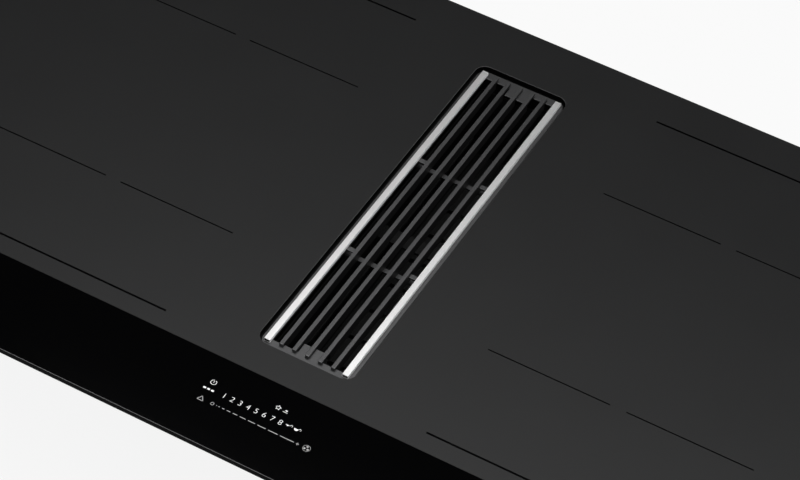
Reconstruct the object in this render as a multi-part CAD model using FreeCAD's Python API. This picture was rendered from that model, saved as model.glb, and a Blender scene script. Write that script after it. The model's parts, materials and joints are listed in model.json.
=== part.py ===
"""Induction cooktop with a central downdraft extractor, built to drop into a worktop.

Frame: millimetres, +X to the right, +Y to the back, +Z up. The origin is the
centre of the glass outline, in the plane of the worktop that the sealing tape
rests on. Everything with z > 0 shows above the worktop, the rest hangs below.
"""
import FreeCAD, Part
import math
import os

Vector = FreeCAD.Vector
UP = Vector(0, 0, 1)
ALONG_X = Vector(1, 0, 0)

# ---------------------------------------------------------------- glass top
glass_width = 830.0
glass_depth = 515.0
glass_thickness = 4.0
glass_corner_radius = 8.0
glass_edge_bevel = 0.8
tape_thickness = 2.0
tape_width = 10.0
tape_inset = 1.0

# opening for the extractor, longer towards the back than to the front
opening_width = 79.5
opening_length = 352.5
opening_corner_radius = 9.0
opening_shift_back = 27.0
opening_bevel = 0.5

# ------------------------------------------------------------------- grille
plate_gap = 1.3
plate_drop = 4.1
plate_thickness = 1.5
plate_side_strip = 6.4
plate_end_tab = 7.4
plate_mid_tab = 16.6
plate_lip_thickness = 1.2
blade_count = 5
blade_width = 3.4
blade_pitch = 10.9
blade_rise = 3.1
blade_drop = 6.4
blade_end_inset = 4.6
tube_width = 5.0
tube_wall = 0.5
tube_side_inset = 3.1
tube_end_inset = 3.3
crossbar_width = 4.2
crossbar_thickness = 1.5
crossbar_spacing = 113.0
foot_thickness = 0.9
foot_length = 22.0
foot_count = 3
foot_clearance = 0.5

# ------------------------------------------- collar and well under the glass
sheet = 1.2
collar_gap = 1.0
collar_flange = 12.0
ledge_reach = 4.5
collar_skirt_depth = 12.0
fit_clearance = 0.5
throat_wall = 1.5
throat_depth = 100.0
window_length = 272.0
window_below_case = 4.0
window_height = 27.0

# --------------------------------------------- lift-out filter and drip tray
filter_clearance = 1.75
filter_corner_clearance = 0.8
filter_wall = 1.2
filter_top_drop = 12.0
filter_height = 72.0
filter_mesh_thickness = 3.0
filter_floor_slots = 9
filter_slot_width = 4.0
filter_slot_length = 40.0
grip_width = 14.0
grip_thickness = 2.0
grip_drop = 16.0
drip_wall = 1.2

# --------------------------------------------------- induction case (steel)
case_width = 784.0
case_depth = 482.0
case_height = 50.0
case_corner_radius = 12.0
case_flange_width = 10.0
step_height = 13.0
step_length = 35.0
aperture_lip = 8.0
vent_count = 12
vent_width = 4.0
vent_height = 22.0
vent_pitch = 12.0
vent_offset = 95.0

# ----------------------------------------------------------- cooking zones
zone_offset_x = 217.0
zone_pitch_y = 191.0
zone_centre_y = 29.5
coil_width = 200.0
coil_length = 180.0
coil_thickness = 5.0
coil_eye_width = 66.0
coil_eye_length = 48.0
coil_corner_radius = 42.0
coil_eye_radius = 16.0
coil_under_glass = 0.4
former_margin = 3.0
former_thickness = 2.5
ferrite_count = 8
ferrite_length = 50.0
ferrite_width = 12.0
ferrite_thickness = 5.0
ferrite_start = 28.0
sensor_radius = 7.0
carrier_thickness = 1.5
carrier_side_gap = 16.0
carrier_front_y = -165.0
carrier_back_y = 226.0
leg_size = 10.0
leg_inset = 5.0

# -------------------------------------------------------------- electronics
board_centre_x = 175.0
board_centre_y = -20.0
board_width = 190.0
board_length = 250.0
board_thickness = 1.6
standoff_height = 4.0
standoff_radius = 4.0
standoff_inset = 8.0
sink_width = 66.0
sink_length = 170.0
sink_base = 4.0
sink_height = 24.0
sink_fin = 1.6
sink_fin_count = 11
sink_offset_x = 56.0
board_corner_radius = 4.0
capacitor_count = 3
capacitor_pitch = 27.0
capacitor_radius = 9.0
capacitor_height = 22.0
choke_radius = 16.0
choke_bore = 7.0
choke_height = 12.0
fan_centre_x = 231.0
fan_centre_y = 162.0
fan_size = 80.0
fan_height = 25.0
fan_corner_radius = 4.0
fan_bore_radius = 38.0
fan_hub_radius = 15.0
fan_hub_height = 3.0
fan_strut_width = 4.0
fan_strut_bite = 0.5
fan_blade_count = 7
fan_blade_tip_gap = 1.2
fan_blade_chord = 22.0
fan_blade_thickness = 1.4
fan_blade_angle = 35.0
fan_blade_root = 2.0
fan_shaft_radius = 1.5
fan_shaft_drop = 4.0
fan_slot_count = 6
fan_slot_width = 5.0
fan_slot_reach = 0.9
touch_board_width = 300.0
touch_board_length = 52.0
touch_board_front_inset = 6.0
touch_board_drop = 4.0
touch_pad_radius = 2.6
touch_pad_count = 10
touch_pad_pitch = 6.7
touch_pad_y = -209.5

# ------------------------------------------------------------------- blower
box_width = 330.0
box_front_y = -105.0
box_back_y = 205.0
box_bottom_z = -205.0
box_wall = 1.2
box_flange = 12.0
cover_thickness = 1.5
scroll_start_radius = 108.0
scroll_growth = 11.0
scroll_centre_x = -30.0
scroll_centre_y = 45.0
scroll_wall = 2.0
scroll_height = 80.0
mouth_width = 218.0
inlet_radius = 70.0
inlet_ring_height = 5.0
impeller_radius = 98.0
impeller_ring_width = 21.0
impeller_height = 60.0
impeller_disc = 2.0
impeller_blade_count = 32
impeller_blade_thickness = 1.4
impeller_blade_sweep = 14.0
impeller_blade_bow = 2.8
impeller_floor_gap = 8.5
motor_radius = 38.0
motor_height = 36.0
motor_flange_radius = 54.0
motor_flange = 3.0
motor_shaft_radius = 4.0
motor_cup_gap = 4.0
cup_wall = 2.0
damper_count = 4
damper_radius = 7.0
damper_height = 3.0
running_clearance = 0.05
end_play = 0.3

# ------------------------------------------------------------ duct and flaps
spigot_length = 45.0
spigot_wall = 2.0
spigot_flange = 8.0
spigot_flange_thickness = 1.5
flap_thickness = 1.2
flap_barrel_radius = 2.2
flap_pin_radius = 1.1
flap_setback = 8.0
flap_edge_gap = 0.6

# ------------------------------------------------------------- terminal box
terminal_x = 285.0
terminal_width = 80.0
terminal_front_y = 150.0
terminal_depth = 78.0
terminal_height = 38.0
terminal_wall = 2.0
terminal_hinge_drop = 4.5
lid_barrel_radius = 2.4
lid_pin_radius = 1.0
ear_thickness = 5.0
block_width = 56.0
block_depth = 20.0
block_height = 15.0
terminal_count = 5
terminal_well_radius = 2.8
terminal_well_depth = 10.0
gland_radius = 10.0
gland_bore = 6.0
gland_thread_radius = 8.0
gland_length = 22.0

# -------------------------------------------------------- clamps and screws
clamp_inset = 14.0
clamp_y = 122.5
clamp_shift_back = -12.5
clamp_length = 32.0
clamp_width = 14.0
clamp_thickness = 3.0
clamp_hook = 6.0
screw_radius = 2.0
screw_head_radius = 4.0
screw_head = 2.4
screw_stick = 3.0
clamp_screw_radius = 3.0
clamp_screw_head_radius = 6.0
flange_screw_pitch = 138.0

# ------------------------------------------------------------ derived levels
glass_bottom = tape_thickness
glass_surface = glass_bottom + glass_thickness
plate_top = glass_surface - plate_drop
plate_bottom = plate_top - plate_thickness
blade_bottom = plate_top - blade_drop
ledge_top = plate_bottom - foot_thickness
ledge_bottom = ledge_top - sheet
throat_floor_bottom = -throat_depth
throat_floor = throat_floor_bottom + throat_wall
case_floor = -case_height + sheet
plate_width = opening_width - 2 * plate_gap
plate_length = opening_length - 2 * plate_gap
ledge_half_width = opening_width / 2 - ledge_reach
ledge_half_length = opening_length / 2 - ledge_reach
throat_half_width = ledge_half_width + sheet + fit_clearance
throat_half_length = ledge_half_length + sheet + fit_clearance
throat_outer_x = throat_half_width + throat_wall
throat_outer_y = throat_half_length + throat_wall
lip_x = plate_width / 2 - plate_side_strip
filter_half_width = ledge_half_width - filter_clearance
filter_half_length = ledge_half_length - filter_clearance
# least round that keeps its clearance from the round corners of the ledge
ledge_corner = opening_corner_radius - ledge_reach
filter_corner = max((math.sqrt(2) * (ledge_corner - filter_clearance)
                     - (ledge_corner - filter_corner_clearance)) / (math.sqrt(2) - 1),
                    1.25 * filter_wall)
filter_top = ledge_top - filter_top_drop
filter_bottom = filter_top - filter_height
window_top = -case_height - window_below_case
window_bottom = window_top - window_height
cover_top = box_bottom_z + cover_thickness
scroll_floor = cover_top + scroll_wall
scroll_top = scroll_floor + scroll_height
lid_top = scroll_top + scroll_wall
carrier_top = (glass_bottom - coil_under_glass - coil_thickness
               - former_thickness - ferrite_thickness)
carrier_bottom = carrier_top - carrier_thickness
SIDES = {"left": -1, "right": 1}
ZONES = {"rear": 1, "front": -1}

# limits that keep the modeller from failing on tiny or touching rounds
smallest_round = 0.05
smallest_opening_round = 1.0
largest_round_share = 0.48

parts = {}


# ------------------------------------------------------------------- helpers
def block(x0, x1, y0, y1, z0, z1):
    """Box between two corners."""
    return Part.makeBox(x1 - x0, y1 - y0, z1 - z0, Vector(x0, y0, z0))


def slab(x, y, width, length, z0, z1, radius=0.0):
    """Flat plate centred on x, y, with round upright corners."""
    half_w = width / 2
    half_l = length / 2
    body = block(x - half_w, x + half_w, y - half_l, y + half_l, z0, z1)
    corner = min(radius, largest_round_share * min(width, length))
    if corner > smallest_round:
        upright = [e for e in body.Edges
                   if e.tangentAt(e.FirstParameter).cross(UP).Length < smallest_round]
        body = body.makeFillet(corner, upright)
    return body


def rod(x, y, z0, z1, radius):
    """Upright cylinder."""
    return Part.makeCylinder(radius, z1 - z0, Vector(x, y, z0), UP)


def rod_x(x0, x1, y, z, radius):
    """Cylinder lying along X."""
    return Part.makeCylinder(radius, x1 - x0, Vector(x0, y, z), ALONG_X)


def join(shapes):
    """One solid out of touching or overlapping ones."""
    body = shapes[0].fuse(shapes[1:]) if len(shapes) > 1 else shapes[0]
    return body.removeSplitter()


def cut_all(body, tools):
    """Body without the tools."""
    return body.cut(Part.makeCompound(tools)) if tools else body


def bevel_top(body, z, size):
    """Chamfer every edge that lies in the plane z."""
    rim = [e for e in body.Edges if all(abs(v.Z - z) < 1e-6 for v in e.Vertexes)]
    return body.makeChamfer(size, rim)


def opening_slab(offset, z0, z1):
    """Prism of the glass opening's outline, grown by offset."""
    return slab(0, opening_shift_back, opening_width + 2 * offset, opening_length + 2 * offset,
                z0, z1, max(opening_corner_radius + offset, smallest_opening_round))


def opening_ring(outer, inner, z0, z1):
    """Ring that follows the glass opening, between two offsets."""
    return opening_slab(outer, z0, z1).cut(opening_slab(inner, z0, z1))


def well_box(half_width, half_length, z0, z1, radius=0.0):
    """Block centred under the glass opening."""
    return slab(0, opening_shift_back, 2 * half_width, 2 * half_length, z0, z1, radius)


# ----------------------------------------------------------------- glass top
def make_glass():
    plate = slab(0, 0, glass_width, glass_depth, glass_bottom, glass_surface,
                 glass_corner_radius)
    plate = bevel_top(plate, glass_surface, glass_edge_bevel)
    hole = opening_slab(0, glass_bottom, glass_surface)
    funnel = bevel_top(opening_slab(opening_bevel, glass_surface - 2 * opening_bevel,
                                    glass_surface + opening_bevel),
                       glass_surface - 2 * opening_bevel, opening_bevel)
    parts["glass_top"] = plate.cut(hole).cut(funnel)
    outer = slab(0, 0, glass_width - 2 * tape_inset, glass_depth - 2 * tape_inset,
                 0, glass_bottom, glass_corner_radius - tape_inset)
    inset = tape_inset + tape_width
    inner = slab(0, 0, glass_width - 2 * inset, glass_depth - 2 * inset,
                 0, glass_bottom, glass_corner_radius)
    parts["sealing_tape"] = outer.cut(inner)


def make_collar():
    """Pressed collar glued under the glass, with the ledge that the grille rests on."""
    wall_out = collar_gap + sheet
    flange = opening_ring(collar_flange, collar_gap, glass_bottom - sheet, glass_bottom)
    wall = opening_ring(wall_out, collar_gap, ledge_bottom, glass_bottom)
    ledge = opening_ring(wall_out, -ledge_reach, ledge_bottom, ledge_top)
    skirt = opening_ring(sheet - ledge_reach, -ledge_reach,
                         ledge_bottom - collar_skirt_depth, ledge_top)
    parts["well_collar"] = join([flange, wall, ledge, skirt])


# -------------------------------------------------------------------- grille
def make_grille():
    y0 = opening_shift_back
    half_length = plate_length / 2
    corner = opening_corner_radius - plate_gap
    plate = slab(0, y0, plate_width, plate_length, plate_bottom, plate_top, corner)
    hole_half_length = half_length - plate_end_tab
    hole = well_box(lip_x, hole_half_length, plate_bottom, plate_top)
    mid_half_width = blade_pitch - blade_width / 2 - foot_clearance
    outer_blade_side = ((blade_count - 1) * blade_pitch + blade_width) / 2
    crossbar_y = {"front": y0 - crossbar_spacing / 2, "rear": y0 + crossbar_spacing / 2}
    tabs = []
    for end in (-1, 1):
        inner = y0 + end * (half_length - plate_mid_tab)
        outer = y0 + end * hole_half_length
        tabs.append(block(-mid_half_width, mid_half_width, min(inner, outer),
                          max(inner, outer), plate_bottom, plate_top))
    for y in crossbar_y.values():
        strip = block(-lip_x, lip_x, y - crossbar_width / 2, y + crossbar_width / 2,
                      plate_bottom, plate_top)
        tabs.append(strip.cut(block(-outer_blade_side, outer_blade_side,
                                    y - crossbar_width, y + crossbar_width,
                                    plate_bottom, plate_top)))
    lips = []
    for side in (-1, 1):
        x_in = side * lip_x
        x_out = side * (lip_x + plate_lip_thickness)
        lips.append(block(min(x_in, x_out), max(x_in, x_out), y0 - hole_half_length,
                          y0 + hole_half_length, blade_bottom, plate_bottom))
    parts["grille_plate"] = join([plate.cut(hole)] + tabs + lips)

    crossbar_reach = lip_x + plate_lip_thickness
    for end, y in crossbar_y.items():
        parts["grille_crossbar_" + end] = block(
            -crossbar_reach, crossbar_reach, y - crossbar_width / 2,
            y + crossbar_width / 2, blade_bottom - crossbar_thickness, blade_bottom)

    middle = (blade_count - 1) / 2
    for index in range(blade_count):
        x = (index - middle) * blade_pitch
        on_mid_tab = abs(x) < mid_half_width
        seat = plate_mid_tab if on_mid_tab else plate_end_tab
        reach = half_length - blade_end_inset
        deep = half_length - seat - foot_clearance
        top = block(x - blade_width / 2, x + blade_width / 2, y0 - reach, y0 + reach,
                    plate_top, plate_top + blade_rise)
        web = block(x - blade_width / 2, x + blade_width / 2, y0 - deep, y0 + deep,
                    blade_bottom, plate_top)
        parts["grille_blade_%d" % (index + 1)] = join([top, web])

    for name, side in SIDES.items():
        x = side * (plate_width / 2 - tube_side_inset - tube_width / 2)
        length = plate_length - 2 * tube_end_inset
        outer = slab(x, y0, tube_width, length, plate_top, plate_top + blade_rise)
        inner = slab(x, y0, tube_width - 2 * tube_wall, length,
                     plate_top + tube_wall, plate_top + blade_rise - tube_wall)
        parts["grille_tube_" + name] = outer.cut(inner)

    inner_x = ledge_half_width + foot_clearance
    outer_x = plate_width / 2 - foot_clearance
    reach = half_length - corner - foot_length
    feet = []
    for side in (-1, 1):
        for index in range(foot_count):
            y = y0 - reach + 2 * reach * index / (foot_count - 1)
            feet.append(slab(side * (inner_x + outer_x) / 2, y, outer_x - inner_x,
                             foot_length, ledge_top, plate_bottom))
    parts["grille_feet"] = Part.makeCompound(feet)


# ------------------------------------------------- well, filter and drip tray
def make_well():
    outer = well_box(throat_outer_x, throat_outer_y, throat_floor_bottom, ledge_bottom)
    inner = well_box(throat_half_width, throat_half_length, throat_floor, ledge_bottom)
    windows = block(-throat_outer_x, throat_outer_x, 0, window_length,
                    window_bottom, window_top)
    window_y = box_front_y + (box_back_y - box_front_y - window_length) / 2
    windows.translate(Vector(0, window_y, 0))
    parts["well_duct"] = outer.cut(inner).cut(windows)

    frame_in_x = filter_half_width - filter_wall
    frame_in_y = filter_half_length - filter_wall
    floor_top = filter_bottom + filter_wall
    shell = well_box(filter_half_width, filter_half_length, filter_bottom, filter_top,
                     filter_corner)
    shell = shell.cut(well_box(frame_in_x, frame_in_y, floor_top, filter_top,
                               filter_corner - filter_wall))
    mesh_margin = 2 * filter_wall
    mesh_y0 = window_y + mesh_margin
    mesh_y1 = window_y + window_length - mesh_margin
    mesh_z0 = floor_top + mesh_margin
    mesh_z1 = window_top - mesh_margin
    side_hole = block(-filter_half_width, filter_half_width, mesh_y0, mesh_y1,
                      mesh_z0, mesh_z1)
    slots = []
    slot_pitch = 2 * (frame_in_y - filter_slot_length) / (filter_floor_slots - 1)
    for index in range(filter_floor_slots):
        y = opening_shift_back + (index - (filter_floor_slots - 1) / 2) * slot_pitch
        slots.append(slab(0, y, filter_slot_length, filter_slot_width,
                          filter_bottom, floor_top, filter_slot_width))
    parts["filter_frame"] = cut_all(shell, [side_hole] + slots)
    for name, side in SIDES.items():
        x_out = side * frame_in_x
        x_in = side * (frame_in_x - filter_mesh_thickness)
        parts["filter_mesh_" + name] = block(min(x_out, x_in), max(x_out, x_in),
                                             mesh_y0 - mesh_margin, mesh_y1 + mesh_margin,
                                             floor_top, mesh_z1 + mesh_margin)
    grip_top = filter_top - grip_drop
    grip = slab(0, opening_shift_back, 2 * frame_in_x, grip_width,
                grip_top - grip_thickness, grip_top)
    tabs = []
    for side in (-1, 1):
        tabs.append(slab(side * (frame_in_x - grip_thickness / 2), opening_shift_back,
                         grip_thickness, grip_width, grip_top, filter_top))
    parts["filter_grip"] = join([grip] + tabs)

    drip = well_box(filter_half_width, filter_half_length, throat_floor, filter_bottom,
                    filter_corner)
    hollow = well_box(filter_half_width - drip_wall, filter_half_length - drip_wall,
                      throat_floor + drip_wall, filter_bottom, filter_corner - drip_wall)
    parts["drip_tray"] = drip.cut(hollow)


# ------------------------------------------------------------ induction case
def case_prism(inset, z_bottom, z_step, z_top):
    """Stepped block of the case, shallow at the front and deep behind."""
    width = case_width - 2 * inset
    depth = case_depth - 2 * inset
    radius = case_corner_radius - inset
    deep_front = -case_depth / 2 + step_length + inset
    deep_back = case_depth / 2 - inset
    shallow = slab(0, 0, width, depth, z_step, z_top, radius)
    deep = slab(0, (deep_front + deep_back) / 2, width, deep_back - deep_front,
                z_bottom, z_top, radius)
    return shallow.fuse(deep)


def board_corners(side):
    """Places of one power board's four standoffs."""
    reach_x = board_width / 2 - standoff_inset
    reach_y = board_length / 2 - standoff_inset
    return [(side * board_centre_x + sx * reach_x, board_centre_y + sy * reach_y)
            for sx in (-1, 1) for sy in (-1, 1)]


def touch_board_y():
    """Front and back edges of the touch board."""
    front = -case_depth / 2 + touch_board_front_inset
    return front, front + touch_board_length


def clamp_places():
    """Pivot of each of the four worktop clamps, with its side."""
    x = case_width / 2 - clamp_inset
    return [(side * x, clamp_shift_back + end * clamp_y, side)
            for end in (1, -1) for side in (-1, 1)]


def flange_screw_places():
    """Screws that hang the blower box under the case."""
    x = box_width / 2 + box_flange / 2
    mid_y = (box_front_y + box_back_y) / 2
    return [(side * x, mid_y + step * flange_screw_pitch)
            for side in (-1, 1) for step in (-1, 0, 1)]


def make_case():
    outer = case_prism(0, -case_height, -step_height, glass_bottom)
    inner = case_prism(sheet, case_floor, -step_height + sheet, glass_bottom - sheet)
    mouth = slab(0, 0, case_width - 2 * case_flange_width,
                 case_depth - 2 * case_flange_width, glass_bottom - sheet, glass_bottom,
                 case_corner_radius)
    hole_x = throat_outer_x + fit_clearance
    hole_y = throat_outer_y + fit_clearance
    lip = well_box(hole_x + sheet, hole_y + sheet, -case_height, case_floor + aperture_lip)
    aperture = well_box(hole_x, hole_y, -case_height, case_floor + aperture_lip)
    posts = []
    for side in (-1, 1):
        for x, y in board_corners(side):
            posts.append(rod(x, y, case_floor, case_floor + standoff_height,
                             standoff_radius))
    front_y, back_y = touch_board_y()
    board_z = -touch_board_drop - board_thickness
    for side in (-1, 1):
        x = side * (touch_board_width / 2 - standoff_inset)
        posts.append(rod(x, front_y + standoff_inset, -step_height + sheet, board_z,
                         standoff_radius))
        posts.append(rod(x, back_y - standoff_inset, case_floor, board_z,
                         standoff_radius))
    vents = []
    for side in (-1, 1):
        for index in range(vent_count):
            x = side * (vent_offset + index * vent_pitch)
            middle = -case_height / 2
            vents.append(block(x - vent_width / 2, x + vent_width / 2,
                               case_depth / 2 - 2 * sheet, case_depth / 2 + sheet,
                               middle - vent_height / 2, middle + vent_height / 2))
        slot_pitch = 2 * fan_bore_radius / fan_slot_count
        for index in range(fan_slot_count):
            offset = (index - (fan_slot_count - 1) / 2) * slot_pitch
            chord = 2 * math.sqrt(fan_bore_radius ** 2 - offset ** 2) * fan_slot_reach
            vents.append(slab(side * fan_centre_x + offset, fan_centre_y, fan_slot_width,
                              chord, -case_height, case_floor, fan_slot_width / 2))
    holes = [rod(x, y, -case_height, case_floor, screw_radius + running_clearance)
             for x, y in flange_screw_places()]
    holes += [rod(x, y, -case_height, case_floor, clamp_screw_radius + running_clearance)
              for x, y, _ in clamp_places()]
    body = outer.cut(inner).cut(mouth)
    body = join([body, lip] + posts)
    parts["induction_case"] = cut_all(body, [aperture] + vents + holes)


def make_zones():
    coil_top = glass_bottom - coil_under_glass
    coil_bottom = coil_top - coil_thickness
    former_bottom = coil_bottom - former_thickness
    ferrites = []
    sensors = []
    for side_name, side in SIDES.items():
        formers = []
        for zone_name, end in ZONES.items():
            x = side * zone_offset_x
            y = zone_centre_y + end * zone_pitch_y / 2
            winding = slab(x, y, coil_width, coil_length, coil_bottom, coil_top,
                           coil_corner_radius)
            eye = slab(x, y, coil_eye_width, coil_eye_length, coil_bottom, coil_top,
                       coil_eye_radius)
            parts["coil_%s_%s" % (zone_name, side_name)] = winding.cut(eye)
            formers.append(slab(x, y, coil_width + 2 * former_margin,
                                coil_length + 2 * former_margin, former_bottom,
                                coil_bottom, coil_corner_radius + former_margin))
            sensors.append(rod(x, y, coil_bottom, coil_top, sensor_radius))
            for index in range(ferrite_count):
                bar = block(ferrite_start, ferrite_start + ferrite_length,
                            -ferrite_width / 2, ferrite_width / 2,
                            former_bottom - ferrite_thickness, former_bottom)
                bar.rotate(Vector(0, 0, 0), UP, 360.0 * index / ferrite_count)
                bar.translate(Vector(x, y, 0))
                ferrites.append(bar)
        parts["coil_formers_" + side_name] = Part.makeCompound(formers)
        parts["coil_carrier_" + side_name] = coil_carrier(side)
    parts["ferrite_bars"] = Part.makeCompound(ferrites)
    parts["pan_sensors"] = Part.makeCompound(sensors)


def coil_carrier(side):
    """Aluminium plate on four legs that stands on the case floor."""
    x_in = throat_outer_x + fit_clearance + sheet + carrier_side_gap
    x_out = case_width / 2 - sheet - leg_inset
    middle_x = side * (x_in + x_out) / 2
    middle_y = (carrier_front_y + carrier_back_y) / 2
    plate = slab(middle_x, middle_y, x_out - x_in, carrier_back_y - carrier_front_y,
                 carrier_bottom, carrier_top, leg_inset)
    legs = []
    for x in (x_in + leg_size / 2 + leg_inset, x_out - leg_size / 2 - leg_inset):
        for y in (carrier_front_y + leg_size / 2 + leg_inset,
                  carrier_back_y - leg_size / 2 - leg_inset):
            legs.append(slab(side * x, y, leg_size, leg_size, case_floor, carrier_top))
    return join([plate] + legs)


# --------------------------------------------------------------- electronics
def make_electronics():
    for name, side in SIDES.items():
        parts["power_board_" + name] = power_board(side)
        parts["heat_sink_" + name] = heat_sink(side)
        make_cooling_fan(name, side)
    make_touch_board()


def power_board(side):
    """Circuit board on its standoffs, with capacitors and chokes."""
    x0 = side * board_centre_x
    bottom = case_floor + standoff_height
    top = bottom + board_thickness
    board = slab(x0, board_centre_y, board_width, board_length, bottom, top,
                 board_corner_radius)
    pieces = [board]
    tall_x = x0 - side * sink_offset_x
    for index in range(capacitor_count):
        y = board_centre_y + (index - (capacitor_count - 1) / 2) * capacitor_pitch
        pieces.append(rod(tall_x, y, top, top + capacitor_height, capacitor_radius))
    for end in (-1, 1):
        y = board_centre_y + end * (board_length / 2 - choke_radius - standoff_inset)
        choke = rod(x0, y, top, top + choke_height, choke_radius)
        pieces.append(choke.cut(rod(x0, y, top, top + choke_height, choke_bore)))
    return Part.makeCompound(pieces)


def heat_sink(side):
    """Finned aluminium block that the fan blows along."""
    x0 = side * (board_centre_x + sink_offset_x)
    bottom = case_floor + standoff_height + board_thickness
    shapes = [slab(x0, board_centre_y, sink_width, sink_length, bottom, bottom + sink_base)]
    step = (sink_width - sink_fin) / (sink_fin_count - 1)
    for index in range(sink_fin_count):
        x = x0 - sink_width / 2 + sink_fin / 2 + index * step
        shapes.append(slab(x, board_centre_y, sink_fin, sink_length, bottom,
                           bottom + sink_height))
    return join(shapes)


def make_cooling_fan(name, side):
    x = side * fan_centre_x
    y = fan_centre_y
    bottom = case_floor
    top = bottom + fan_height
    hub_top = bottom + fan_hub_height
    frame = slab(x, y, fan_size, fan_size, bottom, top, fan_corner_radius)
    frame = frame.cut(rod(x, y, bottom, top, fan_bore_radius))
    hub = rod(x, y, bottom, hub_top, fan_hub_radius)
    strut_length = 2 * (fan_bore_radius + fan_strut_bite)
    struts = [slab(x, y, strut_length, fan_strut_width, bottom, hub_top),
              slab(x, y, fan_strut_width, strut_length, bottom, hub_top)]
    shaft_top = top - fan_shaft_drop
    shaft = rod(x, y, bottom, shaft_top, fan_shaft_radius)
    parts["cooling_fan_" + name] = join([frame, hub, shaft] + struts)

    rotor_bottom = hub_top + end_play
    rotor_top = top - fan_hub_height
    hub_shape = rod(x, y, rotor_bottom, rotor_top, fan_hub_radius)
    tip = fan_bore_radius - fan_blade_tip_gap
    sweep = rod(x, y, rotor_bottom, rotor_top, tip)
    blades = []
    for index in range(fan_blade_count):
        blade = block(fan_hub_radius - fan_blade_root, tip + fan_blade_root,
                      -fan_blade_chord / 2, fan_blade_chord / 2,
                      -fan_blade_thickness / 2, fan_blade_thickness / 2)
        blade.rotate(Vector(0, 0, 0), ALONG_X, fan_blade_angle)
        blade.rotate(Vector(0, 0, 0), UP, 360.0 * index / fan_blade_count)
        blade.translate(Vector(x, y, (rotor_bottom + rotor_top) / 2))
        blades.append(blade.common(sweep))
    bore = rod(x, y, rotor_bottom, shaft_top + end_play,
               fan_shaft_radius + running_clearance)
    parts["fan_rotor_" + name] = join([hub_shape] + blades).cut(bore)


def make_touch_board():
    front, back = touch_board_y()
    top = -touch_board_drop
    board = slab(0, (front + back) / 2, touch_board_width, back - front,
                 top - board_thickness, top, board_corner_radius)
    pieces = [board]
    for index in range(touch_pad_count):
        x = (index - (touch_pad_count - 1) / 2) * touch_pad_pitch
        pieces.append(rod(x, touch_pad_y, top, glass_bottom, touch_pad_radius))
    parts["touch_board"] = Part.makeCompound(pieces)


# -------------------------------------------------------------------- blower
def scroll_outline(wall):
    """Face of the scroll: four centres, with the radius growing at each quarter."""
    r = scroll_start_radius + wall
    g = scroll_growth
    x = scroll_centre_x
    y = scroll_centre_y
    diagonal = math.sqrt(0.5)
    east = Vector(x + r + 3 * g, y + g, 0)
    south = Vector(x + g, y - r - g, 0)
    west = Vector(x - r, y, 0)
    north = Vector(x, y + r, 0)
    r3 = r + 2 * g
    r2 = r + g
    south_east = Vector(x + g + r3 * diagonal, y + g - r3 * diagonal, 0)
    south_west = Vector(x + g - r2 * diagonal, y - r2 * diagonal, 0)
    north_west = Vector(x - r * diagonal, y + r * diagonal, 0)
    mouth_y = box_back_y - box_wall
    mouth_right = Vector(mouth_width / 2 + wall, mouth_y, 0)
    mouth_left = Vector(-mouth_width / 2 - wall, mouth_y, 0)
    edges = [Part.LineSegment(mouth_right, east).toShape(),
             Part.Arc(east, south_east, south).toShape(),
             Part.Arc(south, south_west, west).toShape(),
             Part.Arc(west, north_west, north).toShape(),
             Part.LineSegment(north, mouth_left).toShape(),
             Part.LineSegment(mouth_left, mouth_right).toShape()]
    return Part.Face(Part.Wire(edges))


def scroll_prism(wall, z0, z1):
    """Upright prism of the scroll outline."""
    face = scroll_outline(wall)
    face.translate(Vector(0, 0, z0))
    return face.extrude(Vector(0, 0, z1 - z0))


def damper_places():
    """Rubber mounts around the motor."""
    reach = motor_flange_radius - damper_radius
    turns = [2 * math.pi * (index + 0.5) / damper_count for index in range(damper_count)]
    return [(scroll_centre_x + reach * math.cos(turn),
             scroll_centre_y + reach * math.sin(turn)) for turn in turns]


def make_blower():
    half = box_width / 2
    top = -case_height
    outer = block(-half, half, box_front_y, box_back_y, cover_top, top)
    inner = block(-half + box_wall, half - box_wall, box_front_y + box_wall,
                  box_back_y - box_wall, cover_top, top - box_wall)
    flange = block(-half - box_flange, half + box_flange, box_front_y, box_back_y,
                   top - box_wall, top)
    hole_x = throat_outer_x + fit_clearance
    throat_path = well_box(hole_x, throat_outer_y + fit_clearance,
                           throat_floor_bottom - fit_clearance, top)
    rear_port = block(-mouth_width / 2, mouth_width / 2, box_back_y - 2 * box_wall,
                      box_back_y + box_wall, scroll_floor, scroll_top)
    holes = [rod(x, y, top - box_wall, top, screw_radius + running_clearance)
             for x, y in flange_screw_places()]
    body = join([outer.cut(inner), flange])
    parts["blower_box"] = cut_all(body, [throat_path, rear_port] + holes)
    parts["blower_cover"] = block(-half, half, box_front_y, box_back_y,
                                  box_bottom_z, cover_top)

    shell = scroll_prism(scroll_wall, cover_top, scroll_top)
    parts["scroll_housing"] = shell.cut(scroll_prism(0, scroll_floor, scroll_top))
    x = scroll_centre_x
    y = scroll_centre_y
    lid = scroll_prism(scroll_wall, scroll_top, lid_top)
    ring = rod(x, y, scroll_top - inlet_ring_height, lid_top, inlet_radius + scroll_wall)
    lid = join([lid, ring])
    parts["scroll_lid"] = lid.cut(rod(x, y, scroll_top - inlet_ring_height, lid_top,
                                      inlet_radius))
    make_motor(x, y)


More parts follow.
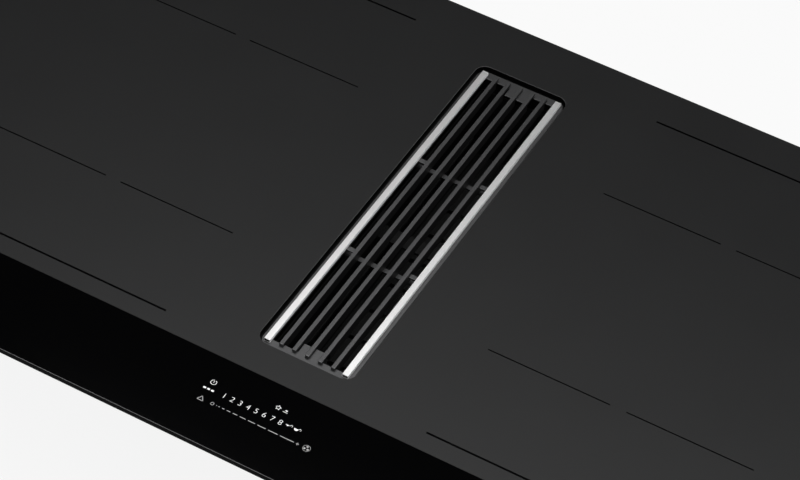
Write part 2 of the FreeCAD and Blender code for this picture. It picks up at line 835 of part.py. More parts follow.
def make_motor(x, y):
    base_bottom = scroll_floor + damper_height
    base_top = base_bottom + motor_flange
    stator_top = base_top + motor_height
    base = rod(x, y, base_bottom, base_top, motor_flange_radius)
    stator = rod(x, y, base_top, stator_top, motor_radius)
    bore = rod(x, y, base_top, stator_top, motor_shaft_radius + running_clearance)
    parts["motor_stator"] = join([base, stator]).cut(bore)
    parts["motor_dampers"] = Part.makeCompound(
        [rod(dx, dy, scroll_floor, base_bottom, damper_radius)
         for dx, dy in damper_places()])

    cup_bottom = stator_top + motor_cup_gap
    cup_top = cup_bottom + cup_wall
    parts["motor_shaft"] = rod(x, y, base_top + end_play, cup_top + cup_wall,
                               motor_shaft_radius)
    disc_bottom = scroll_floor + impeller_floor_gap
    disc_top = disc_bottom + impeller_disc
    wheel_top = disc_bottom + impeller_height
    inner_radius = impeller_radius - impeller_ring_width
    cup_in = motor_radius + motor_cup_gap
    disc = rod(x, y, disc_bottom, disc_top, impeller_radius)
    cup = rod(x, y, disc_bottom, cup_top, cup_in + cup_wall)
    hollow = rod(x, y, disc_bottom, cup_bottom, cup_in)
    bore = rod(x, y, cup_bottom, cup_top, motor_shaft_radius)
    ring = rod(x, y, wheel_top - impeller_disc, wheel_top, impeller_radius)
    ring = ring.cut(rod(x, y, wheel_top - impeller_disc, wheel_top, inner_radius))
    blade_face = impeller_blade_face(inner_radius)
    blades = []
    for index in range(impeller_blade_count):
        blade = blade_face.extrude(Vector(0, 0, wheel_top - impeller_disc - disc_top))
        blade.rotate(Vector(0, 0, 0), UP, 360.0 * index / impeller_blade_count)
        blade.translate(Vector(x, y, disc_top))
        blades.append(blade)
    wheel = join([disc, cup])
    wheel = wheel.cut(hollow).cut(bore)
    parts["impeller"] = wheel.fuse(blades + [ring])


def impeller_blade_face(inner_radius):
    """Curved cross-section of one forward-swept blade."""
    def at(radius, angle):
        turn = math.radians(angle)
        return Vector(radius * math.cos(turn), radius * math.sin(turn), 0)

    tip_radius = impeller_radius - impeller_blade_thickness / 2
    middle = (inner_radius + tip_radius) / 2
    turn = math.degrees(impeller_blade_thickness / middle)
    lead = [at(inner_radius, 0), at(middle, impeller_blade_bow),
            at(tip_radius, impeller_blade_sweep)]
    back = [at(tip_radius, impeller_blade_sweep + turn),
            at(middle, impeller_blade_bow + turn), at(inner_radius, turn)]
    edges = [Part.Arc(*lead).toShape(),
             Part.LineSegment(lead[-1], back[0]).toShape(),
             Part.Arc(*back).toShape(),
             Part.LineSegment(back[-1], lead[0]).toShape()]
    return Part.Face(Part.Wire(edges))


# ------------------------------------------------------------ duct and flaps
def make_duct():
    half = mouth_width / 2
    y0 = box_back_y
    y1 = y0 + spigot_length
    outer = block(-half - spigot_wall, half + spigot_wall, y0, y1,
                  scroll_floor - spigot_wall, scroll_top + spigot_wall)
    flange = block(-half - spigot_flange, half + spigot_flange, y0,
                   y0 + spigot_flange_thickness, scroll_floor - spigot_wall,
                   scroll_top + spigot_flange)
    inner = block(-half, half, y0, y1, scroll_floor, scroll_top)
    pin_y = y0 + flap_setback
    middle_z = (scroll_floor + scroll_top) / 2
    pin_offset = flap_barrel_radius + flap_edge_gap / 2
    holes = [rod_x(-half - spigot_wall, half + spigot_wall, pin_y,
                   middle_z + end * pin_offset, flap_pin_radius + running_clearance)
             for end in (-1, 1)]
    parts["outlet_spigot"] = cut_all(join([outer, flange]), [inner] + holes)

    for name, end in {"upper": 1, "lower": -1}.items():
        pin_z = middle_z + end * pin_offset
        reach = half - flap_edge_gap
        barrel = rod_x(-reach, reach, pin_y, pin_z, flap_barrel_radius)
        pin = rod_x(-half - spigot_wall + end_play, half + spigot_wall - end_play,
                    pin_y, pin_z, flap_pin_radius)
        tip_z = middle_z + end * (scroll_height / 2 - flap_edge_gap)
        leaf = block(-reach, reach, pin_y - flap_thickness / 2,
                     pin_y + flap_thickness / 2, min(pin_z, tip_z), max(pin_z, tip_z))
        parts["flap_" + name] = join([barrel, pin, leaf])


# -------------------------------------------------------------- terminal box
def make_terminal_box():
    x0 = terminal_x
    x1 = x0 + terminal_width
    y0 = terminal_front_y
    y1 = y0 + terminal_depth
    top = -case_height
    bottom = top - terminal_height
    wall = terminal_wall
    shell = block(x0, x1, y0, y1, bottom, top)
    hollow = block(x0 + wall, x1 - wall, y0 + wall, y1, bottom + wall, top - wall)
    hinge_y = y1 + lid_barrel_radius - wall / 2 + end_play
    hinge_z = top - terminal_hinge_drop
    ears = []
    for ear_x in (x0, x1 - ear_thickness):
        ears.append(block(ear_x, ear_x + ear_thickness, y1, hinge_y,
                          hinge_z - lid_barrel_radius, hinge_z + lid_barrel_radius))
        ears.append(rod_x(ear_x, ear_x + ear_thickness, hinge_y, hinge_z,
                          lid_barrel_radius))
    pin = rod_x(x0, x1, hinge_y, hinge_z, lid_pin_radius)
    gland_y = y0 + terminal_depth / 2
    gland_z = bottom + terminal_height / 2
    gland_hole = rod_x(x1 - wall, x1, gland_y, gland_z,
                       gland_thread_radius + running_clearance)
    parts["terminal_box"] = join([shell.cut(hollow)] + ears + [pin]).cut(gland_hole)

    barrel_x0 = x0 + ear_thickness + end_play
    barrel_x1 = x1 - ear_thickness - end_play
    lid_y = y1 + end_play
    plate = block(x0, x1, lid_y, lid_y + wall, bottom,
                  hinge_z - lid_barrel_radius - end_play)
    web = block(barrel_x0, barrel_x1, lid_y, lid_y + wall,
                hinge_z - lid_barrel_radius - end_play, hinge_z)
    barrel = rod_x(barrel_x0, barrel_x1, hinge_y, hinge_z, lid_barrel_radius)
    bore = rod_x(barrel_x0, barrel_x1, hinge_y, hinge_z,
                 lid_pin_radius + running_clearance)
    parts["terminal_lid"] = join([plate, web, barrel]).cut(bore)

    block_x = (x0 + x1) / 2
    block_y = y1 - 2 * block_depth
    block_top = bottom + wall + block_height
    wells = []
    pitch = block_width / terminal_count
    for index in range(terminal_count):
        x = block_x + (index - (terminal_count - 1) / 2) * pitch
        wells.append(rod(x, block_y, block_top - terminal_well_depth, block_top,
                         terminal_well_radius))
    terminals = slab(block_x, block_y, block_width, block_depth, bottom + wall, block_top)
    parts["terminal_block"] = cut_all(terminals, wells)

    body = rod_x(x1, x1 + gland_length, gland_y, gland_z, gland_radius)
    thread = rod_x(x1 - wall, x1, gland_y, gland_z, gland_thread_radius)
    bore = rod_x(x1 - wall, x1 + gland_length, gland_y, gland_z, gland_bore)
    parts["cable_gland"] = join([body, thread]).cut(bore)


# --------------------------------------------------------- clamps and screws
def make_clamps():
    arm_top = -case_height - end_play
    arm_bottom = arm_top - clamp_thickness
    screws = []
    for number, (x, y, side) in enumerate(clamp_places(), start=1):
        inward = -1 if y > clamp_shift_back else 1
        tip_y = y + inward * clamp_length
        arm = block(x - clamp_width / 2, x + clamp_width / 2, min(y, tip_y),
                    max(y, tip_y), arm_bottom, arm_top)
        eye = rod(x, y, arm_bottom, arm_top, clamp_width / 2)
        hook_y = tip_y - inward * clamp_thickness
        hook = block(x - clamp_width / 2, x + clamp_width / 2, min(tip_y, hook_y),
                     max(tip_y, hook_y), arm_bottom - clamp_hook, arm_top)
        bore = rod(x, y, arm_bottom, arm_top, clamp_screw_radius + running_clearance)
        parts["worktop_clamp_%d" % number] = join([arm, eye, hook]).cut(bore)
        head_top = arm_bottom - end_play
        shank = rod(x, y, head_top, case_floor + screw_stick, clamp_screw_radius)
        head = rod(x, y, head_top - screw_head, head_top, clamp_screw_head_radius)
        screws.append(join([shank, head]))
    flange_bottom = -case_height - box_wall
    for x, y in flange_screw_places():
        shank = rod(x, y, flange_bottom, case_floor + screw_stick, screw_radius)
        head = rod(x, y, flange_bottom - screw_head, flange_bottom, screw_head_radius)
        screws.append(join([shank, head]))
    parts["case_screws"] = Part.makeCompound(screws)


def main():
    make_glass()
    make_collar()
    make_grille()
    make_well()
    make_case()
    make_zones()
    make_electronics()
    make_blower()
    make_duct()
    make_terminal_box()
    make_clamps()
    os.makedirs("parts", exist_ok=True)
    for name, shape in parts.items():
        shape.exportStep("parts/" + name + ".step")
        print(name, len(shape.Solids), "valid" if shape.isValid() else "INVALID")
    print(len(parts), "nodes")


main()
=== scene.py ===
"""Looks of a downdraft induction cooktop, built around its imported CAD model.

Lengths are metres in the CAD frame: +X to the right, +Y to the back and +Z up,
with the worktop's upper face at z = 0. Finished pieces sit at the origin, so that
the materials' Object coordinates are real metres.
"""
import json
import math

import bmesh
import bpy
from bpy.props import FloatProperty, FloatVectorProperty, IntProperty, PointerProperty
from mathutils import Matrix, Vector


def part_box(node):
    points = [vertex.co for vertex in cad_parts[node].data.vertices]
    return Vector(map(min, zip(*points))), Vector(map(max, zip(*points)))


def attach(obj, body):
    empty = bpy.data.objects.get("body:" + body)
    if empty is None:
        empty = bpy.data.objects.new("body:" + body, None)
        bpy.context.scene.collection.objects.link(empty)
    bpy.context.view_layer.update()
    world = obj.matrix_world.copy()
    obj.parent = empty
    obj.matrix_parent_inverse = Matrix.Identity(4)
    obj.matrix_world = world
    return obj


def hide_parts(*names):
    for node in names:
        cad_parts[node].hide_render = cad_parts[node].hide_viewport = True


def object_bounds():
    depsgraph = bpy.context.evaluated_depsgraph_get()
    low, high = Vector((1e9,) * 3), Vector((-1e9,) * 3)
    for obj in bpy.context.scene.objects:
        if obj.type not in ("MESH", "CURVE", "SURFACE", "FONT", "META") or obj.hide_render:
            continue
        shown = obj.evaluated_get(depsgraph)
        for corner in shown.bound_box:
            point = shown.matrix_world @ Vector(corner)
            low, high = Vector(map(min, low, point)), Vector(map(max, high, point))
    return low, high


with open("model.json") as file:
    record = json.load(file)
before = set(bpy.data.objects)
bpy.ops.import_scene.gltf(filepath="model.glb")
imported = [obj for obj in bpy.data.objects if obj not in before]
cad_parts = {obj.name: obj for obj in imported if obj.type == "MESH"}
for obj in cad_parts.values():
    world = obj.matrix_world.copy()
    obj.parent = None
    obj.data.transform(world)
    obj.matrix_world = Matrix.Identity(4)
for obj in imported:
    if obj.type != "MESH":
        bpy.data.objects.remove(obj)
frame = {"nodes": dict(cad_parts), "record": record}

bl_info = {
    "name": "Downdraft induction cooktop",
    "version": (1, 0, 0),
    "blender": (4, 5, 0),
    "location": "3D View > Sidebar > Cooktop",
    "description": "Dresses the CAD model of an induction cooktop with its own extractor",
    "category": "Object",
}

CAD_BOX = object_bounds()
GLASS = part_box("glass_top")
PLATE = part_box("grille_plate")
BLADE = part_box("grille_blade_1")
BLADE_NODES = ["grille_blade_%d" % number for number in range(1, 6)]
MM = 0.001
SHARP = math.radians(30)

# Clouds of colour in every grained finish: their size in metres and their strength.
CLOUD_SIZE = 0.03
CLOUD_SHIFT = 0.08

# The floor's round form.
FLOOR_SIDES = 96
COVE_STEPS = 8

# Places and sizes of the prints, in millimetres of the glass's plan.
THICK_LINES_Y = (220.5, -161.5)
THIN_LINES_Y = (125.0, -67.0)
DIGITS_Y = -209.5
DIGIT_FIRST_X = -30.0
DIGIT_PITCH = 6.65
TIMER = (-43.2, -202.4)
DOTS = (-47.4, -209.8)
DOT_PITCH = 3.3
STROKE = 0.45
PANS_Y = -208.5
SLIDER_Y = -220.1
SLIDER_START = -30.3
SLIDER_END = 34.1
SLIDER_WIDTH = 0.62
DASHES = 9
DASH_GROWTH = 0.98
DASH_PITCH = 1.95
SHORTEST_DASH = 0.6
PLUS_X = 36.9
FAN_X = 44.4


def length(name, description, default):
    """A size in metres that a user may change."""
    return FloatProperty(name=name, description=description, default=default,
                         min=0.0, unit="LENGTH", precision=5)


def place(name, description, default):
    """A position in metres, which may be negative."""
    return FloatProperty(name=name, description=description, default=default,
                         unit="LENGTH", precision=5)


def angle(name, description, degrees):
    """An angle, given here in degrees."""
    return FloatProperty(name=name, description=description,
                         default=math.radians(degrees), unit="ROTATION")


def share(name, description, default):
    """A number from 0 to 1."""
    return FloatProperty(name=name, description=description, default=default,
                         min=0.0, max=1.0, subtype="FACTOR")


def amount(name, description, default):
    """A number of like pieces."""
    return IntProperty(name=name, description=description, default=default, min=1)


def strength(name, description, default):
    """The power of a lamp or of the world's light."""
    return FloatProperty(name=name, description=description, default=default, min=0.0)


def colour(name, description, default):
    """A linear colour."""
    return FloatVectorProperty(name=name, description=description, default=default,
                               size=3, min=0.0, max=1.0, subtype="COLOR")


# ------------------------------------------------------------------ settings
class StageSettings(bpy.types.PropertyGroup):
    azimuth: angle("Azimuth", "How far right of straight ahead the camera stands", 24.858)
    elevation: angle("Elevation", "The camera's height above the horizon", 45.769)
    roll: angle("Roll", "The camera's turn about its own axis", 5.761)
    distance: length("Distance", "From the camera to the glass", 2.28378)
    target_x: place("Target X", "Point on the glass that the camera faces", 0.00078)
    target_y: place("Target Y", "Point on the glass that the camera faces", -0.00467)
    focal: FloatProperty(name="Focal length", description="On a sensor 36 mm wide",
                         default=135.85, unit="CAMERA")
    floor_colour: colour("Floor", "Colour of the floor and its rim", (0.95, 0.95, 0.95))
    floor_glow: share("Floor glow", "Part of the floor's white that no shadow darkens", 0.93)
    floor_radius: length("Floor radius", "Flat part of the floor", 11.0)
    rim_height: length("Rim height", "Height of the floor's upturned rim", 2.5)
    wall_light: strength("Walls", "Light from round about, up to the height of a wall", 0.45)
    ceiling_light: strength("Ceiling", "Light from above the walls, beside the lamp", 0.01)
    wall_top: share("Wall top", "Sine of the angle up to which the walls are bright", 0.20)
    ceiling_start: share("Ceiling start", "Sine of the angle where the ceiling starts", 0.36)
    lamp_width: length("Lamp width", "Width of the soft lamp overhead", 3.4)
    lamp_depth: length("Lamp depth", "Depth of the soft lamp overhead", 3.0)
    lamp_side: place("Lamp offset", "How far right of the middle the lamp hangs", 0.52)
    lamp_back: length("Lamp back edge", "How far behind the glass's middle it reaches", 1.15)
    lamp_height: length("Lamp height", "Height of the soft lamp above the worktop", 2.1)
    lamp_power: strength("Lamp power", "Watts of the soft lamp overhead", 106.0)


class GlassSettings(bpy.types.PropertyGroup):
    body: colour("Glass", "Colour of the satin glass", (0.0044, 0.0045, 0.0047))
    band: colour("Band", "Colour of the gloss control band", (0.0006, 0.0006, 0.0007))
    band_edge: place("Band edge", "Where the gloss band ends and the satin starts", -0.1782)
    satin: share("Satin roughness", "Roughness of the etched glass", 0.41)
    gloss: share("Gloss roughness", "Roughness of the control band", 0.07)
    grain: length("Grain", "Size of the etched texture", 0.0005)
    edge: colour("Edge", "Colour of the ground edge below its chamfer",
                 (0.0010, 0.0010, 0.0010))
    # The grey on the chamfer is a painted highlight, not the edge's own colour.
    chamfer_highlight: colour("Chamfer", "Colour of the ground chamfer", (0.11, 0.11, 0.11))
    chamfer: length("Chamfer width", "Chamfer along the outer top edge", 0.0003)
    slot_chamfer: length("Slot chamfer", "Chamfer round the opening in the glass", 0.0001)


class PrintSettings(bpy.types.PropertyGroup):
    line_start: length("Line start", "From the middle of the glass to a zone line", 0.1093)
    line_gap: length("Gap start", "Where the thin lines' gap begins", 0.2094)
    line_gap_end: length("Gap end", "Where the thin lines' gap ends", 0.2226)
    line_end: length("Line end", "Outer end of a zone line", 0.324)
    thick_line: length("Thick line", "Width of the outer zone lines", 0.0018)
    thin_line: length("Thin line", "Width of the inner zone lines", 0.0011)
    ink_height: length("Ink height", "Thickness of the printed ink", 0.00002)
    digit_size: length("Digit size", "Font size of the row of numbers", 0.0070)
    dark_ink: colour("Dark ink", "Colour of the zone lines", (0.0004, 0.0004, 0.0005))
    pale_ink: colour("Pale ink", "Colour of the numbers and signs", (0.80, 0.80, 0.80))
    grey_ink: colour("Grey ink", "Colour of the slider and its ends", (0.32, 0.32, 0.32))


class GrilleSettings(bpy.types.PropertyGroup):
    blades: amount("Blades", "Number of upright blades", 5)
    pitch: length("Pitch", "From one blade to the next", 0.0109)
    edge_round: length("Edge round", "Round on the long edges of the blades", 0.00045)
    plate_round: length("Plate round", "Round on the edges of the plate", 0.00025)
    tube_round: length("Tube round", "Round on the edges of the bright tubes", 0.00030)
    tube_wall: length("Tube wall", "Thickness of the bright tubes' walls", 0.00050)
    coating: colour("Coating", "Colour of the plate and blades", (0.106, 0.106, 0.108))
    steel: colour("Steel", "Colour of the bright tubes", (0.99, 0.99, 0.99))


class FilterSettings(bpy.types.PropertyGroup):
    mesh_pitch: length("Mesh pitch", "From one wire of the filter to the next", 0.0040)
    wire: length("Wire", "Diameter of the filter's wires", 0.0009)
    border: length("Border", "Width of the frame round each wire pad", 0.0030)


class CooktopSettings(bpy.types.PropertyGroup):
    stage: PointerProperty(type=StageSettings)
    glass: PointerProperty(type=GlassSettings)
    prints: PointerProperty(type=PrintSettings)
    grille: PointerProperty(type=GrilleSettings)
    filter: PointerProperty(type=FilterSettings)


# --------------------------------------------------------------- node helpers
def add_node(tree, kind, inputs=None, **settings):
    """Adds a node. Inputs are keyed by name or number and hold values or sockets."""
    node = tree.nodes.new(kind)
    for key, value in settings.items():
        setattr(node, key, value)
    for key, value in (inputs or {}).items():
        if isinstance(value, bpy.types.NodeSocket):
            tree.links.new(value, node.inputs[key])
        else:
            node.inputs[key].default_value = value
    return node


def math_node(tree, operation, first, second=0.0):
    """The result of one operation on values or sockets."""
    return add_node(tree, "ShaderNodeMath", {0: first, 1: second},
                    operation=operation).outputs[0]


# ------------------------------------------------------------------ materials
def new_finish(name, metallic=0.0, **sockets):
    """A new material, returned with its tree, its shader and its coordinates."""
    material = bpy.data.materials.new(name)
    material.use_nodes = True
    tree = material.node_tree
    shader = tree.nodes["Principled BSDF"]
    shader.inputs["Metallic"].default_value = metallic
    for socket, value in sockets.items():
        shader.inputs[socket.replace("_", " ")].default_value = value
    where = add_node(tree, "ShaderNodeTexCoord").outputs["Object"]
    return material, tree, shader, where


def noise(tree, where, size, stretch=(1, 1, 1), detail=2.0):
    """Noise with features of one size in metres, drawn out along an axis by stretch."""
    scale = [1 / (size * s) for s in stretch]
    mapped = add_node(tree, "ShaderNodeMapping", {"Vector": where, "Scale": scale})
    return add_node(tree, "ShaderNodeTexNoise",
                    {"Vector": mapped.outputs[0], "Scale": 1.0, "Detail": detail}
                    ).outputs["Fac"]


def between(tree, factor, low, high):
    """A number that runs from low to high with the factor."""
    return add_node(tree, "ShaderNodeMapRange",
                    {"Value": factor, "To Min": low, "To Max": high}).outputs[0]


def mixed(tree, factor, low, high, kind="FLOAT"):
    """Socket that runs from low to high with the factor."""
    return add_node(tree, "ShaderNodeMix", {"Factor": factor, "A": low, "B": high},
                    data_type=kind).outputs["Result"]


def tint(tree, factor, low, high):
    """A colour that runs from low to high, each a colour or a socket."""
    ends = [end if isinstance(end, bpy.types.NodeSocket) else (*end, 1)
            for end in (low, high)]
    return mixed(tree, factor, *ends, kind="RGBA")


def relief(tree, shader, height, depth):
    """Feeds a height pattern, depth metres deep, to the shader as bump."""
    bump = add_node(tree, "ShaderNodeBump", {"Height": height, "Distance": depth})
    tree.links.new(bump.outputs[0], shader.inputs["Normal"])


def scaled(base, factor):
    """A colour made lighter or darker, at most white."""
    return [min(1.0, c * factor) for c in base]


def grained(name, base, rough, grain, depth, metallic=0.0, stretch=(1, 1, 1), **sockets):
    """Finish with clouds of colour, uneven gloss and a fine grain in the surface."""
    material, tree, shader, where = new_finish(name, metallic, **sockets)
    clouds = noise(tree, where, CLOUD_SIZE, stretch, detail=3.0)
    grains = noise(tree, where, grain, stretch)
    tree.links.new(tint(tree, clouds, scaled(base, 1 - CLOUD_SHIFT),
                        scaled(base, 1 + CLOUD_SHIFT)), shader.inputs["Base Color"])
    tree.links.new(between(tree, grains, rough * 0.85, rough * 1.15),
                   shader.inputs["Roughness"])
    relief(tree, shader, grains, depth)
    return material


def satin_glass(settings):
    """Etched black glass-ceramic whose front band is left glossy."""
    material, tree, shader, where = new_finish("ceramic_glass", Specular_IOR_Level=0.355)
    split = add_node(tree, "ShaderNodeSeparateXYZ", {0: where})
    in_band = math_node(tree, "LESS_THAN", split.outputs["Y"], settings.band_edge)
    etch = noise(tree, where, settings.grain)
    cloud = noise(tree, where, 0.06, detail=3.0)
    satin = between(tree, cloud, settings.satin * 0.96, settings.satin * 1.04)
    body = tint(tree, cloud, scaled(settings.body, 0.93), scaled(settings.body, 1.07))
    tree.links.new(mixed(tree, in_band, satin, settings.gloss),
                   shader.inputs["Roughness"])
    tree.links.new(tint(tree, in_band, body, settings.band), shader.inputs["Base Color"])
    relief(tree, shader, math_node(tree, "MULTIPLY", etch,
                                   math_node(tree, "SUBTRACT", 1.0, in_band)), 4e-6)
    return material


def ground_edge(settings):
    """Fine-ground glass edge, dark below, with a grey painted highlight on its chamfer."""
    material, tree, shader, where = new_finish("ground_edge", Specular_IOR_Level=0.02)
    height = add_node(tree, "ShaderNodeSeparateXYZ", {0: where}).outputs["Z"]
    # Painted highlight: faces within a chamfer's width of the top are coloured grey.
    on_chamfer = math_node(tree, "GREATER_THAN", height,
                           GLASS[1].z - 1.02 * settings.chamfer)
    grains = noise(tree, where, 0.0003)
    below = tint(tree, grains, scaled(settings.edge, 0.8), scaled(settings.edge, 1.2))
    tree.links.new(tint(tree, on_chamfer, below, settings.chamfer_highlight),
                   shader.inputs["Base Color"])
    tree.links.new(between(tree, grains, 0.35, 0.5), shader.inputs["Roughness"])
    relief(tree, shader, grains, 5e-6)
    return material


def galvanised(base):
    """Zinc-coated sheet with its spangle."""
    material, tree, shader, where = new_finish("zinc_steel", 1.0)
    flakes = add_node(tree, "ShaderNodeTexVoronoi", {"Vector": where, "Scale": 140.0})
    flake = add_node(tree, "ShaderNodeSeparateColor", {0: flakes.outputs["Color"]})
    grains = noise(tree, where, 0.002)
    tree.links.new(tint(tree, flake.outputs[0], scaled(base, 0.86), scaled(base, 1.1)),
                   shader.inputs["Base Color"])
    tree.links.new(between(tree, flake.outputs[1], 0.34, 0.50), shader.inputs["Roughness"])
    relief(tree, shader, grains, 2e-5)
    return material


def bright_steel(settings):
    """Steel brushed on top and matt beside it, with painted shade making it near-black inside
    the tubes.
    """
    material, tree, shader, where = new_finish("bright_steel", 1.0)
    lines = noise(tree, where, 0.00015, (1, 200, 1))
    clouds = noise(tree, where, 0.02, (1, 4, 1), detail=3.0)
    bare = tint(tree, clouds, scaled(settings.steel, 0.98), scaled(settings.steel, 1.01))
    low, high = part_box("grille_tube_right")
    spot = add_node(tree, "ShaderNodeSeparateXYZ", {0: where})
    off_axis = math_node(tree, "ABSOLUTE", math_node(
        tree, "SUBTRACT", math_node(tree, "ABSOLUTE", spot.outputs["X"]),
        (low.x + high.x) / 2))
    off_level = math_node(tree, "ABSOLUTE", math_node(
        tree, "SUBTRACT", spot.outputs["Z"], (low.z + high.z) / 2))
    past_bore = 1.06
    reach = past_bore * ((high.x - low.x) / 2 - settings.tube_wall)
    rise = past_bore * ((high.z - low.z) / 2 - settings.tube_wall)
    # Painted shade: the bore of each tube, and a little past it, is coloured near-black.
    inside = math_node(tree, "MULTIPLY", math_node(tree, "LESS_THAN", off_axis, reach),
                       math_node(tree, "LESS_THAN", off_level, rise))
    painted_shade_tone = (0.012, 0.012, 0.012)
    tree.links.new(tint(tree, inside, bare, painted_shade_tone), shader.inputs["Base Color"])
    upright = math_node(tree, "LESS_THAN", spot.outputs["Z"],
                        high.z - 0.6 * settings.tube_round)
    rough = mixed(tree, upright, between(tree, lines, 0.36, 0.41),
                  between(tree, lines, 0.80, 0.90))
    tree.links.new(rough, shader.inputs["Roughness"])
    relief(tree, shader, lines, 4e-7)
    return material


def circuit_board():
    """Green solder resist over a pattern of copper tracks."""
    material, tree, shader, where = new_finish("circuit_board")
    tracks = add_node(tree, "ShaderNodeTexBrick", {
        "Vector": where, "Color1": (0.010, 0.085, 0.035, 1),
        "Color2": (0.014, 0.10, 0.045, 1), "Mortar": (0.05, 0.16, 0.06, 1),
        "Scale": 60.0, "Mortar Size": 0.03})
    tree.links.new(tracks.outputs["Color"], shader.inputs["Base Color"])
    grains = noise(tree, where, 0.0015)
    tree.links.new(between(tree, grains, 0.30, 0.42), shader.inputs["Roughness"])
    relief(tree, shader, tracks.outputs["Fac"], 3e-5)
    return material


def make_finishes(settings):
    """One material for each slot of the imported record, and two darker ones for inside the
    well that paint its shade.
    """
    along_y = (1, 60, 1)
    looks = {
        "foam_tape": dict(base=(0.028, 0.028, 0.030), rough=0.9, grain=0.0007, depth=2e-4),
        "black_steel": dict(base=(0.022, 0.022, 0.023), rough=0.48, grain=0.0009, depth=3e-5),
        # Painted shade: a near-black copy of the black steel for the parts deep in the well.
        "well_painted_shade": dict(base=(0.004, 0.004, 0.004), rough=0.70, grain=0.0009,
                           depth=3e-5, Specular_IOR_Level=0.05),
        # Black enamel made darker than the black steel, partly as painted shade in the well.
        "filter_enamel_and_shade": dict(base=(0.005, 0.005, 0.005), rough=0.50, grain=0.0009,
                              depth=3e-5, Specular_IOR_Level=0.16),
        "copper_winding": dict(base=(0.62, 0.26, 0.12), rough=0.35, grain=0.0006,
                               depth=1e-4, metallic=1.0),
        "white_plastic": dict(base=(0.72, 0.72, 0.70), rough=0.5, grain=0.0008, depth=3e-5),
        "aluminium_sheet": dict(base=(0.76, 0.77, 0.79), rough=0.34, grain=0.0003,
                                depth=1e-5, metallic=1.0, stretch=along_y),
        "ferrite": dict(base=(0.055, 0.055, 0.060), rough=0.62, grain=0.0005, depth=4e-5),
        "black_plastic": dict(base=(0.025, 0.025, 0.027), rough=0.52, grain=0.0006,
                              depth=4e-5),
        "motor_metal": dict(base=(0.48, 0.49, 0.51), rough=0.38, grain=0.0004,
                            depth=1e-5, metallic=1.0),
        "grey_rubber": dict(base=(0.075, 0.075, 0.078), rough=0.8, grain=0.0005, depth=4e-5),
        "steel_screw": dict(base=(0.62, 0.62, 0.63), rough=0.30, grain=0.0003,
                            depth=1e-5, metallic=1.0),
        "grey_plastic": dict(base=(0.34, 0.35, 0.36), rough=0.5, grain=0.0006, depth=4e-5),
        "stainless_sheet": dict(base=(0.60, 0.60, 0.60), rough=0.30, grain=0.0002,
                                depth=6e-6, metallic=1.0, stretch=along_y),
        "filter_mesh": dict(base=(0.012, 0.012, 0.012), rough=0.60, grain=0.0006,
                            depth=2e-5, Specular_IOR_Level=0.2),
        "grille_coating": dict(base=settings.grille.coating, rough=0.42, grain=0.0004,
                               depth=6e-6, metallic=1.0),
    }
    finishes = {name: grained(name, **look) for name, look in looks.items()}
    finishes["ceramic_glass"] = satin_glass(settings.glass)
    finishes["zinc_steel"] = galvanised((0.55, 0.57, 0.59))
    finishes["circuit_board"] = circuit_board()
    finishes["bright_steel"] = bright_steel(settings.grille)
    return finishes


FINISHES = {}
SLOT_OF = {row["node"]: row["material_slot"] for row in frame["record"]["subparts"]}


def dress(*nodes, finish=None):
    """Gives CAD nodes the finish of their own slot, or one named here."""
    for node in nodes:
        for slot in frame["nodes"][node].material_slots:
            slot.material = FINISHES[finish or SLOT_OF[node]]


# ---------------------------------------------------------------- mesh helpers
def add_piece(name, mesh, body, slot, *nodes):
    """Links a finished mesh as a piece on a CAD body, in place of the CAD nodes."""
    piece = bpy.data.objects.new(name, mesh)
    bpy.context.scene.collection.objects.link(piece)
    mesh.materials.clear()
    mesh.materials.append(FINISHES[slot])
    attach(piece, body)
    if nodes:
        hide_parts(*nodes)
    return piece


def round_edges(piece, width):
    """Rounds the sharp edges of a piece and leaves its flats flat."""
    bevel = piece.modifiers.new("round", "BEVEL")
    bevel.width = width
    bevel.segments = 2
    bevel.limit_method = "ANGLE"
    bevel.angle_limit = SHARP
    bevel.harden_normals = True
    bevel.loop_slide = False
    piece.data.shade_smooth()


def outline_of(spots):
    """Centre, half sizes and corner radius of the round-cornered rectangle of spots."""
    low = Vector([min(spot[axis] for spot in spots) for axis in (0, 1)])
    high = Vector([max(spot[axis] for spot in spots) for axis in (0, 1)])
    centre, half = (low + high) / 2, (high - low) / 2
    flat = max(abs(spot.x - centre.x) for spot in spots if spot.y > high.y - 0.01 * MM)
    return centre, half, half.x - flat


def rounded_loop(outline, inset, height, steps=10):
    """Points round a rectangle with round corners, moved in from it by inset."""
    centre, half, radius = outline
    points = []
    for corner, (side, end) in enumerate(((1, 1), (-1, 1), (-1, -1), (1, -1))):
        heart = Vector((side * (half.x - radius), end * (half.y - radius))) + centre
        for step in range(steps + 1):
            turn = math.radians(90 * (corner + step / steps))
            points.append((heart.x + (radius - inset) * math.cos(turn),
                           heart.y + (radius - inset) * math.sin(turn), height))
    return points


def ring_mesh(name, loops):
    """A closed ring-shaped solid from loops with as many points each."""
    form = bmesh.new()
    rows = [[form.verts.new(point) for point in loop] for loop in loops]
    for row, following in zip(rows, rows[1:] + rows[:1]):
        for k in range(len(row)):
            form.faces.new((row[k - 1], row[k], following[k], following[k - 1]))
    bmesh.ops.recalc_face_normals(form, faces=form.faces)
    mesh = bpy.data.meshes.new(name)
    form.to_mesh(mesh)
    form.free()
    return mesh


def merged_copy(node):
    """The mesh of a CAD node with its loose triangles joined up."""
    source = frame["nodes"][node].data
    form = bmesh.new()
    for vertex in source.vertices:
        form.verts.new(vertex.co)
    form.verts.ensure_lookup_table()
    for face in source.polygons:
        form.faces.new([form.verts[i] for i in face.vertices])
    bmesh.ops.remove_doubles(form, verts=form.verts, dist=2e-6)
    bmesh.ops.dissolve_limit(form, angle_limit=math.radians(0.5), verts=form.verts,
                             edges=form.edges)
    mesh = bpy.data.meshes.new(node)
    form.to_mesh(mesh)
    form.free()
    return mesh


